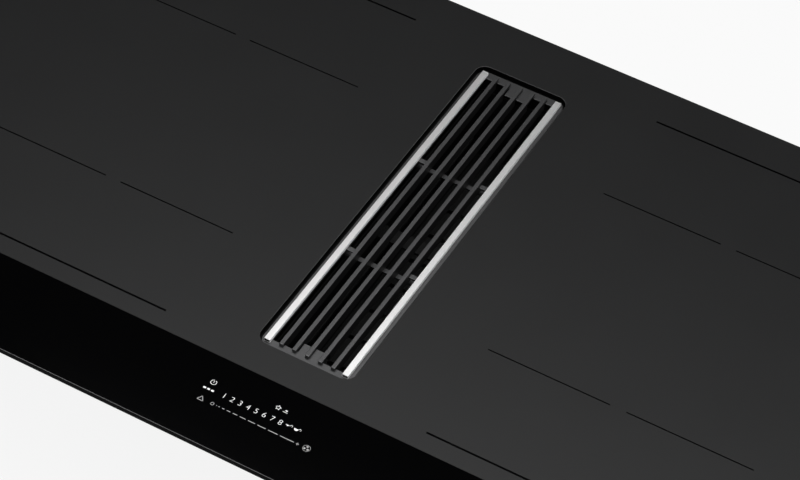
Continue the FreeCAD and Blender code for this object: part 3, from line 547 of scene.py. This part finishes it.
# ------------------------------------------------------------- geometry nodes
def new_tree(name, sizes):
    """An empty Geometry Nodes tree with one named input for each size."""
    tree = bpy.data.node_groups.new(name, "GeometryNodeTree")
    tree.interface.new_socket("Geometry", in_out="OUTPUT",
                              socket_type="NodeSocketGeometry")
    kinds = {int: "NodeSocketInt", float: "NodeSocketFloat"}
    for key, value in sizes.items():
        kind = kinds.get(type(value), "NodeSocketMaterial")
        socket = tree.interface.new_socket(key, in_out="INPUT", socket_type=kind)
        socket.default_value = value
    return tree, add_node(tree, "NodeGroupInput").outputs


def close_tree(tree, geometry, material):
    """Ends a tree in plain geometry with its material."""
    plain = add_node(tree, "GeometryNodeRealizeInstances", {0: geometry})
    painted = add_node(tree, "GeometryNodeSetMaterial",
                       {"Geometry": plain.outputs[0], "Material": material})
    add_node(tree, "NodeGroupOutput", {0: painted.outputs[0]})


def grow(tree, sizes):
    """Runs a tree with these sizes and returns the result as a plain mesh."""
    holder = bpy.data.objects.new(tree.name, bpy.data.meshes.new(tree.name))
    bpy.context.scene.collection.objects.link(holder)
    modifier = holder.modifiers.new(tree.name, "NODES")
    modifier.node_group = tree
    for item in tree.interface.items_tree:
        if item.in_out == "INPUT":
            modifier[item.identifier] = sizes[item.name]
    graph = bpy.context.evaluated_depsgraph_get()
    mesh = bpy.data.meshes.new_from_object(holder.evaluated_get(graph))
    bpy.data.objects.remove(holder)
    return mesh


def vector(tree, x=0.0, y=0.0, z=0.0):
    """Vector socket from three values or sockets."""
    return add_node(tree, "ShaderNodeCombineXYZ", {0: x, 1: y, 2: z}).outputs[0]


def blade_form(tree, size, web_run):
    """A blade hung from z = 0, long above the plate's face and shorter below it."""
    half = math_node(tree, "MULTIPLY", size["Top Length"], 0.5)
    web_half = math_node(tree, "MULTIPLY", web_run, 0.5)
    grid = add_node(tree, "GeometryNodeMeshGrid", {
        "Size X": size["Width"], "Size Y": size["Top Length"],
        "Vertices X": 2, "Vertices Y": 4}).outputs[0]
    spot = add_node(tree, "ShaderNodeSeparateXYZ", {
        0: add_node(tree, "GeometryNodeInputPosition").outputs[0]})
    reach = math_node(tree, "ABSOLUTE", spot.outputs["Y"])
    inner = math_node(tree, "LESS_THAN", reach, math_node(tree, "MULTIPLY", half, 0.5))
    step = math_node(tree, "MULTIPLY", inner, math_node(tree, "SUBTRACT", web_half, half))
    length_y = math_node(tree, "MULTIPLY", math_node(tree, "SIGN", spot.outputs["Y"]),
                         math_node(tree, "ADD", half, step))
    placed = add_node(tree, "GeometryNodeSetPosition", {
        "Geometry": grid, "Position": vector(tree, spot.outputs["X"], length_y)}).outputs[0]
    under = add_node(tree, "GeometryNodeFlipFaces", {0: placed}).outputs[0]
    bar = add_node(tree, "GeometryNodeExtrudeMesh", {
        "Mesh": under, "Offset": vector(tree, z=math_node(
            tree, "MULTIPLY", size["Rise"], -1.0)), "Individual": False})
    middle = math_node(tree, "MULTIPLY", bar.outputs["Top"],
                       math_node(tree, "LESS_THAN", reach,
                                 math_node(tree, "MULTIPLY", web_half, 0.5)))
    web = add_node(tree, "GeometryNodeExtrudeMesh", {
        "Mesh": bar.outputs[0], "Selection": middle, "Offset": vector(
            tree, z=math_node(tree, "SUBTRACT", size["Rise"], size["Depth"])),
        "Individual": False})
    join = add_node(tree, "GeometryNodeJoinGeometry", {0: placed})
    tree.links.new(web.outputs[0], join.inputs[0])
    return add_node(tree, "GeometryNodeMergeByDistance",
                    {"Geometry": join.outputs[0], "Distance": 1e-6}).outputs[0]


def blade_row():
    """Tree: a row of upright blades whose middle ones are cut shorter below."""
    sizes = {"Count": 5, "Pitch": 0.01, "Width": 0.003, "Centre Y": 0.0, "Top": 0.005,
             "Rise": 0.003, "Depth": 0.009, "Top Length": 0.3, "Web Length": 0.3,
             "Middle Web Length": 0.3, "Middle Half Width": 0.01, "Material": None}
    tree, size = new_tree("blade_row", sizes)
    start = math_node(tree, "MULTIPLY", size["Pitch"], math_node(
        tree, "MULTIPLY", math_node(tree, "SUBTRACT", size["Count"], 1.0), -0.5))
    points = add_node(tree, "GeometryNodeMeshLine", {
        "Count": size["Count"], "Start Location": vector(tree, start, size["Centre Y"],
                                                        size["Top"]),
        "Offset": vector(tree, size["Pitch"])}).outputs[0]
    across = add_node(tree, "ShaderNodeSeparateXYZ", {
        0: add_node(tree, "GeometryNodeInputPosition").outputs[0]}).outputs["X"]
    in_middle = math_node(tree, "LESS_THAN", math_node(tree, "ABSOLUTE", across),
                          size["Middle Half Width"])
    at_side = math_node(tree, "SUBTRACT", 1.0, in_middle)
    join = add_node(tree, "GeometryNodeJoinGeometry")
    for web, chosen in (("Web Length", at_side), ("Middle Web Length", in_middle)):
        row = add_node(tree, "GeometryNodeInstanceOnPoints", {
            "Points": points, "Selection": chosen,
            "Instance": blade_form(tree, size, size[web])})
        tree.links.new(row.outputs[0], join.inputs[0])
    close_tree(tree, join.outputs[0], size["Material"])
    return tree


def wire_pad():
    """Tree: an upright pad of crossed wires in a narrow frame, square to the X axis."""
    sizes = {"Thickness": 0.003, "Length": 0.3, "Height": 0.06, "Pitch": 0.004,
             "Wire": 0.0008, "Border": 0.003, "Centre X": 0.0, "Centre Y": 0.0,
             "Centre Z": 0.0, "Material": None}
    tree, size = new_tree("wire_pad", sizes)
    join = add_node(tree, "GeometryNodeJoinGeometry")
    radius = math_node(tree, "MULTIPLY", size["Wire"], 0.5)
    ring = add_node(tree, "GeometryNodeCurvePrimitiveCircle",
                    {"Resolution": 6, "Radius": radius}).outputs[0]
    for run, rise, along, across, layer in (("Length", "Height", "y", "z", 1),
                                            ("Height", "Length", "z", "y", -1)):
        inside = math_node(tree, "SUBTRACT", size[run], math_node(
            tree, "MULTIPLY", size["Border"], 2.0))
        count = math_node(tree, "FLOOR", math_node(tree, "DIVIDE", inside, size["Pitch"]))
        start = math_node(tree, "MULTIPLY", math_node(
            tree, "MULTIPLY", math_node(tree, "SUBTRACT", count, 1.0), size["Pitch"]), -0.5)
        spots = add_node(tree, "GeometryNodeMeshLine", {
            "Count": count, "Start Location": vector(
                tree, x=math_node(tree, "MULTIPLY", radius, layer), **{along: start}),
            "Offset": vector(tree, **{along: size["Pitch"]})})
        end = math_node(tree, "SUBTRACT", math_node(tree, "MULTIPLY", size[rise], 0.5),
                        math_node(tree, "MULTIPLY", size["Border"], 0.5))
        line = add_node(tree, "GeometryNodeCurvePrimitiveLine", {
            "Start": vector(tree, **{across: math_node(tree, "MULTIPLY", end, -1.0)}),
            "End": vector(tree, **{across: end})})
        wire = add_node(tree, "GeometryNodeCurveToMesh", {
            "Curve": line.outputs[0], "Profile Curve": ring, "Fill Caps": True})
        wires = add_node(tree, "GeometryNodeInstanceOnPoints",
                         {"Points": spots.outputs[0], "Instance": wire.outputs[0]})
        tree.links.new(wires.outputs[0], join.inputs[0])
        rail_size = vector(tree, size["Thickness"], **{
            along: size["Border"], across: size[rise]})
        rail = add_node(tree, "GeometryNodeMeshCube", {"Size": rail_size})
        place_at = math_node(tree, "MULTIPLY", math_node(
            tree, "SUBTRACT", size[run], size["Border"]), 0.5)
        for side in (-1.0, 1.0):
            moved = add_node(tree, "GeometryNodeTransform", {
                "Geometry": rail.outputs[0], "Translation": vector(
                    tree, **{along: math_node(tree, "MULTIPLY", place_at, side)})})
            tree.links.new(moved.outputs[0], join.inputs[0])
    whole = add_node(tree, "GeometryNodeTransform", {
        "Geometry": join.outputs[0], "Translation": vector(
            tree, size["Centre X"], size["Centre Y"], size["Centre Z"])})
    close_tree(tree, whole.outputs[0], size["Material"])
    return tree


# ------------------------------------------------------------------- the stage
class COOKTOP_OT_stage(bpy.types.Operator):
    """Pale floor with an upturned rim, a soft lamp and the photograph's camera"""
    bl_idname = "cooktop.stage"
    bl_label = "Floor, lamp and camera"

    def execute(self, context):
        settings = context.scene.cooktop.stage
        add_floor(settings)
        add_light(settings)
        add_camera(settings)
        context.scene.view_settings.view_transform = "Standard"
        return {"FINISHED"}


def add_floor(settings):
    """Round floor at the object's lowest point, with its rim turned up."""
    floor_z = CAD_BOX[0].z
    cove = settings.rim_height / 2
    rings = [(settings.floor_radius, floor_z)]
    for step in range(1, COVE_STEPS + 1):
        turn = math.radians(90) * step / COVE_STEPS
        rings.append((settings.floor_radius + cove * math.sin(turn),
                      floor_z + cove * (1 - math.cos(turn))))
    rings.append((settings.floor_radius + cove, floor_z + settings.rim_height))
    form = bmesh.new()
    loops = []
    for radius, z in rings:
        loops.append([form.verts.new((radius * math.cos(turn), radius * math.sin(turn), z))
                      for turn in (math.tau * k / FLOOR_SIDES for k in range(FLOOR_SIDES))])
    form.faces.new(loops[0])
    for inner, outer in zip(loops, loops[1:]):
        for k in range(FLOOR_SIDES):
            following = (k + 1) % FLOOR_SIDES
            form.faces.new((inner[k], outer[k], outer[following], inner[following]))
    mesh = bpy.data.meshes.new("floor")
    form.to_mesh(mesh)
    form.free()
    mesh.shade_smooth()
    floor = bpy.data.objects.new("floor", mesh)
    bpy.context.scene.collection.objects.link(floor)
    mesh.materials.append(floor_finish(settings))


def floor_finish(settings):
    """Matt white that glows a little for the camera, so the shadow on it stays light."""
    material, tree, shader, where = new_finish("floor", Roughness=0.9)
    speckle = noise(tree, where, 0.01)
    tree.links.new(tint(tree, speckle, scaled(settings.floor_colour, 0.99),
                        settings.floor_colour), shader.inputs["Base Color"])
    glow = add_node(tree, "ShaderNodeEmission", {"Color": (*settings.floor_colour, 1)})
    path = add_node(tree, "ShaderNodeLightPath").outputs
    seen = math_node(tree, "MAXIMUM", path["Is Camera Ray"], path["Is Glossy Ray"])
    seen = math_node(tree, "MAXIMUM", seen, path["Is Transmission Ray"])
    blend = add_node(tree, "ShaderNodeMixShader", {
        0: math_node(tree, "MULTIPLY", seen, settings.floor_glow),
        1: shader.outputs[0], 2: glow.outputs[0]})
    tree.links.new(blend.outputs[0], tree.nodes["Material Output"].inputs["Surface"])
    return material


def add_light(settings):
    """A softbox overhead between pale walls and a dark ceiling."""
    world = bpy.data.worlds.new("studio")
    bpy.context.scene.world = world
    world.use_nodes = True
    tree = world.node_tree
    where = add_node(tree, "ShaderNodeTexCoord").outputs["Generated"]
    rise = add_node(tree, "ShaderNodeSeparateXYZ", {0: where}).outputs["Z"]
    light = add_node(tree, "ShaderNodeMapRange", {
        "Value": rise, "From Min": settings.wall_top, "From Max": settings.ceiling_start,
        "To Min": settings.wall_light, "To Max": settings.ceiling_light}).outputs[0]
    background = tree.nodes["Background"]
    background.inputs["Color"].default_value = (1, 1, 1, 1)
    tree.links.new(light, background.inputs["Strength"])
    lamp = bpy.data.lights.new("overhead", "AREA")
    lamp.shape = "RECTANGLE"
    lamp.size, lamp.size_y = settings.lamp_width, settings.lamp_depth
    lamp.energy = settings.lamp_power
    holder = bpy.data.objects.new("overhead", lamp)
    holder.location = (settings.lamp_side, settings.lamp_back - settings.lamp_depth / 2,
                       settings.lamp_height)
    bpy.context.scene.collection.objects.link(holder)


def add_camera(settings):
    """The photograph's camera, which looks at a point on the glass."""
    a, e, r = settings.azimuth, settings.elevation, settings.roll
    back = Vector((math.sin(a) * math.cos(e), -math.cos(a) * math.cos(e), math.sin(e)))
    level = Vector((math.cos(a), math.sin(a), 0))
    rise = back.cross(level)
    right = level * math.cos(r) + rise * math.sin(r)
    up = rise * math.cos(r) - level * math.sin(r)
    target = Vector((settings.target_x, settings.target_y, GLASS[1].z))
    camera = bpy.data.objects.new("camera", bpy.data.cameras.new("camera"))
    camera.data.lens = settings.focal
    camera.data.sensor_width = 36.0
    turn = Matrix((right, up, back)).transposed()
    camera.matrix_world = Matrix.Translation(target + back * settings.distance) @ \
        turn.to_4x4()
    bpy.context.scene.collection.objects.link(camera)
    bpy.context.scene.camera = camera


# ------------------------------------------------------------------- the glass
class COOKTOP_OT_glass(bpy.types.Operator):
    """Satin glass with a gloss control band and ground edges, on its foam tape"""
    bl_idname = "cooktop.glass"
    bl_label = "Glass top"

    def execute(self, context):
        settings = context.scene.cooktop.glass
        low, high = GLASS
        spots = [vertex.co for vertex in frame["nodes"]["glass_top"].data.vertices]
        rim = outline_of(spots)
        slot = outline_of([spot for spot in spots
                           if abs(spot.x - PLATE[0].x) < abs(spot.x - low.x)
                           and abs(spot.x - PLATE[1].x) < abs(spot.x - high.x)])
        cut, slot_cut = settings.chamfer, settings.slot_chamfer
        loops = [rounded_loop(rim, 0, low.z), rounded_loop(rim, 0, high.z - cut),
                 rounded_loop(rim, cut, high.z), rounded_loop(slot, -slot_cut, high.z),
                 rounded_loop(slot, 0, high.z - slot_cut), rounded_loop(slot, 0, low.z)]
        mesh = ring_mesh("glass_panel", loops)
        add_piece("glass_panel", mesh, "housing", "ceramic_glass", "glass_top")
        mesh.materials.append(ground_edge(settings))
        for face in mesh.polygons:
            face.material_index = int(abs(face.normal.z) < 0.9)
        mesh.set_sharp_from_angle(angle=SHARP)
        dress("sealing_tape")
        return {"FINISHED"}


class Ink:
    """Flat printed shapes on the glass, drawn in millimetres of its plan."""

    def __init__(self):
        self.form = bmesh.new()

    def area(self, points):
        """A filled outline."""
        self.form.faces.new([self.form.verts.new((x * MM, y * MM, 0))
                             for x, y in points])

    def bar(self, start, end, width):
        """A straight stroke."""
        along = (Vector(end) - Vector(start)).normalized() * width / 2
        side = Vector((-along.y, along.x))
        self.area([Vector(start) - side, Vector(end) - side, Vector(end) + side,
                   Vector(start) + side])

    def arc(self, x, y, radius, width, start=0.0, end=360.0, steps=28):
        """A round stroke from one angle to another."""
        inner, outer = [], []
        for step in range(steps + 1):
            turn = math.radians(start + (end - start) * step / steps)
            for loop, reach in ((inner, radius - width / 2), (outer, radius + width / 2)):
                loop.append(self.form.verts.new(((x + reach * math.cos(turn)) * MM,
                                                 (y + reach * math.sin(turn)) * MM, 0)))
        for k in range(steps):
            self.form.faces.new((inner[k], outer[k], outer[k + 1], inner[k + 1]))

    def disc(self, x, y, radius, start=0.0, end=360.0, steps=20):
        """A filled circle, or a sector of one."""
        whole = end - start >= 360
        points = [] if whole else [(x, y)]
        for step in range(steps + (not whole)):
            turn = math.radians(start + (end - start) * step / steps)
            points.append((x + radius * math.cos(turn), y + radius * math.sin(turn)))
        self.area(points)

    def star(self, x, y, outer, inner, width):
        """The outline of a star with five points."""
        points = [(x + reach * math.sin(math.radians(36 * k)),
                   y + reach * math.cos(math.radians(36 * k)))
                  for k, reach in zip(range(10), (outer, inner) * 5)]
        for k, point in enumerate(points):
            self.bar(points[k - 1], point, width)

    def text(self, words, x, y, size):
        """Characters set about a point."""
        curve = bpy.data.curves.new("text", "FONT")
        curve.body = words
        curve.size = size
        curve.offset = -size * 0.011
        curve.align_x = "CENTER"
        curve.align_y = "CENTER"
        letters = bpy.data.objects.new("text", curve)
        bpy.context.scene.collection.objects.link(letters)
        mesh = bpy.data.meshes.new_from_object(letters)
        bpy.data.objects.remove(letters)
        mesh.transform(Matrix.Translation((x * MM, y * MM, 0)))
        self.form.from_mesh(mesh)

    def piece(self, name, material, height):
        """The printed shapes as a thin closed layer on the glass."""
        bmesh.ops.remove_doubles(self.form, verts=self.form.verts, dist=1e-6)
        bmesh.ops.recalc_face_normals(self.form, faces=self.form.faces)
        mesh = bpy.data.meshes.new(name)
        self.form.to_mesh(mesh)
        self.form.free()
        if sum(face.normal.z * face.area for face in mesh.polygons) < 0:
            mesh.flip_normals()
        mesh.transform(Matrix.Translation((0, 0, GLASS[1].z + height)))
        piece = bpy.data.objects.new(name, mesh)
        bpy.context.scene.collection.objects.link(piece)
        mesh.materials.append(material)
        layer = piece.modifiers.new("layer", "SOLIDIFY")
        layer.thickness = 1.5 * height
        layer.offset = -1
        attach(piece, "housing")


class COOKTOP_OT_zone_lines(bpy.types.Operator):
    """Printed lines that mark the cooking zones"""
    bl_idname = "cooktop.zone_lines"
    bl_label = "Zone lines"

    def execute(self, context):
        settings = context.scene.cooktop.prints
        ink = Ink()
        start, gap, gap_end, end = (size / MM for size in (
            settings.line_start, settings.line_gap, settings.line_gap_end,
            settings.line_end))
        for side in (-1, 1):
            for y in THICK_LINES_Y:
                ink.bar((side * start, y), (side * end, y), settings.thick_line / MM)
            for y in THIN_LINES_Y:
                for x0, x1 in ((start, gap), (gap_end, end)):
                    ink.bar((side * x0, y), (side * x1, y), settings.thin_line / MM)
        material = grained("dark_ink", settings.dark_ink, 0.10, 0.0004, 1e-6)
        ink.piece("zone_lines", material, settings.ink_height)
        return {"FINISHED"}


class COOKTOP_OT_controls(bpy.types.Operator):
    """Printed numbers, slider and plain signs of the touch controls"""
    bl_idname = "cooktop.controls"
    bl_label = "Touch controls"

    def execute(self, context):
        settings = context.scene.cooktop.prints
        pale = grained("pale_ink", settings.pale_ink, 0.5, 0.0004, 2e-6)
        grey = grained("grey_ink", settings.grey_ink, 0.5, 0.0004, 2e-6)
        height = settings.ink_height
        bright_signs(settings).piece("touch_numbers", pale, height)
        slider_signs().piece("touch_slider", grey, height)
        return {"FINISHED"}


def bright_signs(settings):
    """Row of numbers, a timer over its dashes, two keep-warm signs and two pans."""
    ink = Ink()
    for index in range(8):
        ink.text(str(index + 1), DIGIT_FIRST_X + DIGIT_PITCH * index, DIGITS_Y,
                 settings.digit_size)
    x, y = TIMER
    ink.arc(x, y, 2.2, STROKE, start=105, end=425)
    ink.bar((x, y), (x, y + 1.5), STROKE)
    ink.disc(x, y, 0.4)
    for index in range(3):
        x, y = DOTS[0] + DOT_PITCH * index, DOTS[1]
        ink.bar((x, y), (x + 2.2, y), 1.5)
    ink.star(8.3, -198.1, 2.3, 1.1, 0.4)
    ink.disc(14.9, -198.2, 1.1, start=0, end=180)
    ink.bar((12.8, -199.4), (16.6, -199.4), 0.4)
    for x, depth in ((22.9, 0.8), (30.0, 1.6)):
        ink.bar((x - 2.3, PANS_Y), (x + 1.1, PANS_Y), 0.35)
        ink.disc(x - 0.6, PANS_Y - 0.2, depth, start=180, end=360)
        ink.arc(x + 2.1, PANS_Y + 0.3, 0.9, 0.35, start=-60, end=200, steps=10)
    return ink


def slider_signs():
    """Slider of dashes that grow towards the boost end, with its end signs."""
    ink = Ink()
    x = SLIDER_START
    for step in range(DASHES):
        run = max(SHORTEST_DASH, DASH_GROWTH * step)
        ink.bar((x, SLIDER_Y), (x + run, SLIDER_Y), SLIDER_WIDTH)
        x += DASH_PITCH + DASH_GROWTH * step
    ink.bar((x, SLIDER_Y), (SLIDER_END, SLIDER_Y), SLIDER_WIDTH)
    ink.arc(-33.5, SLIDER_Y - 0.1, 1.2, STROKE)
    corners = [(-45.5, -221.8), (-40.7, -221.8), (-43.1, -217.7)]
    for index, corner in enumerate(corners):
        ink.bar(corner, corners[index - 1], 0.6)
    arm = 1.2
    ink.bar((PLUS_X - arm, SLIDER_Y), (PLUS_X + arm, SLIDER_Y), STROKE)
    ink.bar((PLUS_X, SLIDER_Y - arm), (PLUS_X, SLIDER_Y + arm), STROKE)
    ink.arc(FAN_X, SLIDER_Y, 2.8, 0.3)
    for index in range(3):
        turn = math.radians(90 + 120 * index)
        ink.disc(FAN_X + 1.5 * math.cos(turn), SLIDER_Y + 1.5 * math.sin(turn), 0.85)
    return ink


# ------------------------------------------------------------------ the grille
class COOKTOP_OT_grille(bpy.types.Operator):
    """Anthracite plate and blades with two bright tubes"""
    bl_idname = "cooktop.grille"
    bl_label = "Grille"

    def execute(self, context):
        settings = context.scene.cooktop.grille
        low, high = BLADE
        tree = blade_row()
        sizes = {"Count": settings.blades, "Pitch": settings.pitch,
                 "Width": high.x - low.x, "Centre Y": (low.y + high.y) / 2,
                 "Top": high.z, "Rise": high.z - PLATE[1].z, "Depth": high.z - low.z,
                 "Top Length": high.y - low.y, "Web Length": web_length("grille_blade_1"),
                 "Middle Web Length": web_length("grille_blade_3"),
                 "Middle Half Width": 1.5 * settings.pitch,
                 "Material": FINISHES["grille_coating"]}
        blades = add_piece("grille_blades", grow(tree, sizes), "grille",
                           "grille_coating", *BLADE_NODES)
        round_edges(blades, settings.edge_round)
        plate = add_piece("grille_plate_soft", merged_copy("grille_plate"), "grille",
                          SLOT_OF["grille_plate"], "grille_plate")
        round_edges(plate, settings.plate_round)
        for side in ("left", "right"):
            square_tube("tube_" + side, "grille_tube_" + side, settings)
        dress("grille_crossbar_front", "grille_crossbar_rear", "grille_feet")
        return {"FINISHED"}


def square_tube(name, node, settings):
    """Thin-walled tube with soft corners, open at both ends."""
    low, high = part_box(node)
    centre = Vector(((low.x + high.x) / 2, (low.z + high.z) / 2))
    half = Vector(((high.x - low.x) / 2, (high.z - low.z) / 2))
    wall, soft = settings.tube_wall, settings.tube_round
    outer = (centre, half, soft)
    inner = (centre, half - Vector((wall, wall)), soft / 2)
    loops = []
    for outline, inset, y in ((outer, 0, low.y + soft / 2), (outer, 0, high.y - soft / 2),
                              (outer, soft / 2, high.y), (inner, 0, high.y),
                              (inner, 0, low.y), (outer, soft / 2, low.y)):
        loops.append([(x, y, z) for x, z, _ in rounded_loop(outline, inset, 0, 6)])
    mesh = ring_mesh(name, loops)
    add_piece(name, mesh, "grille", "bright_steel", node)
    mesh.set_sharp_from_angle(angle=SHARP)
    for face in mesh.polygons:
        face.use_smooth = face.area < soft * (high.y - low.y)


def web_length(node):
    """Length of a blade along its lower edge."""
    near_foot = BLADE[0].z + 0.2 * MM
    ys = [vertex.co.y for vertex in frame["nodes"][node].data.vertices
          if vertex.co.z < near_foot]
    return max(ys) - min(ys)


class COOKTOP_OT_filter(bpy.types.Operator):
    """Wire pads on both sides of the lift-out grease filter"""
    bl_idname = "cooktop.filter"
    bl_label = "Filter pads"

    def execute(self, context):
        settings = context.scene.cooktop.filter
        tree = wire_pad()
        for side in ("left", "right"):
            low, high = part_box("filter_mesh_" + side)
            centre, size = (low + high) / 2, high - low
            sizes = {"Thickness": size.x, "Length": size.y, "Height": size.z,
                     "Pitch": settings.mesh_pitch, "Wire": settings.wire,
                     "Border": settings.border, "Centre X": centre.x,
                     "Centre Y": centre.y, "Centre Z": centre.z,
                     "Material": FINISHES["filter_mesh"]}
            add_piece("filter_wires_" + side, grow(tree, sizes), "grease_filter",
                      "filter_mesh", "filter_mesh_" + side)
        return {"FINISHED"}


class COOKTOP_OT_inside(bpy.types.Operator):
    """Finishes of every CAD part that keeps its own shape"""
    bl_idname = "cooktop.inside"
    bl_label = "Other parts"

    def execute(self, context):
        dress(*(node for node, shape in frame["nodes"].items()
                if not shape.hide_render))
        # The collar and duct take a darker black that paints the well's shade.
        dress("well_collar", "well_duct", finish="well_painted_shade")
        # The filter's frame and grip: black enamel, darkened as painted shade in the well.
        dress("filter_frame", "filter_grip", finish="filter_enamel_and_shade")
        return {"FINISHED"}


class COOKTOP_PT_parts(bpy.types.Panel):
    """The cooktop's pieces, in the order in which they are made"""
    bl_idname = "COOKTOP_PT_parts"
    bl_label = "Cooktop"
    bl_space_type = "VIEW_3D"
    bl_region_type = "UI"
    bl_category = "Cooktop"

    def draw(self, context):
        for operator in OPERATORS:
            self.layout.operator(operator.bl_idname)
        for group in ("stage", "glass", "prints", "grille", "filter"):
            settings = getattr(context.scene.cooktop, group)
            box = self.layout.box()
            for key in settings.__annotations__:
                box.prop(settings, key)


OPERATORS = (COOKTOP_OT_stage, COOKTOP_OT_glass, COOKTOP_OT_zone_lines,
             COOKTOP_OT_controls, COOKTOP_OT_grille, COOKTOP_OT_filter,
             COOKTOP_OT_inside)
CLASSES = (StageSettings, GlassSettings, PrintSettings, GrilleSettings,
           FilterSettings, CooktopSettings, *OPERATORS, COOKTOP_PT_parts)


def register():
    for item in CLASSES:
        bpy.utils.register_class(item)
    bpy.types.Scene.cooktop = PointerProperty(type=CooktopSettings)


def unregister():
    del bpy.types.Scene.cooktop
    for item in reversed(CLASSES):
        bpy.utils.unregister_class(item)


def main():
    register()
    FINISHES.update(make_finishes(bpy.context.scene.cooktop))
    for operator in OPERATORS:
        getattr(bpy.ops.cooktop, operator.bl_idname.split(".")[1])()


if __name__ == "__main__":
    main()
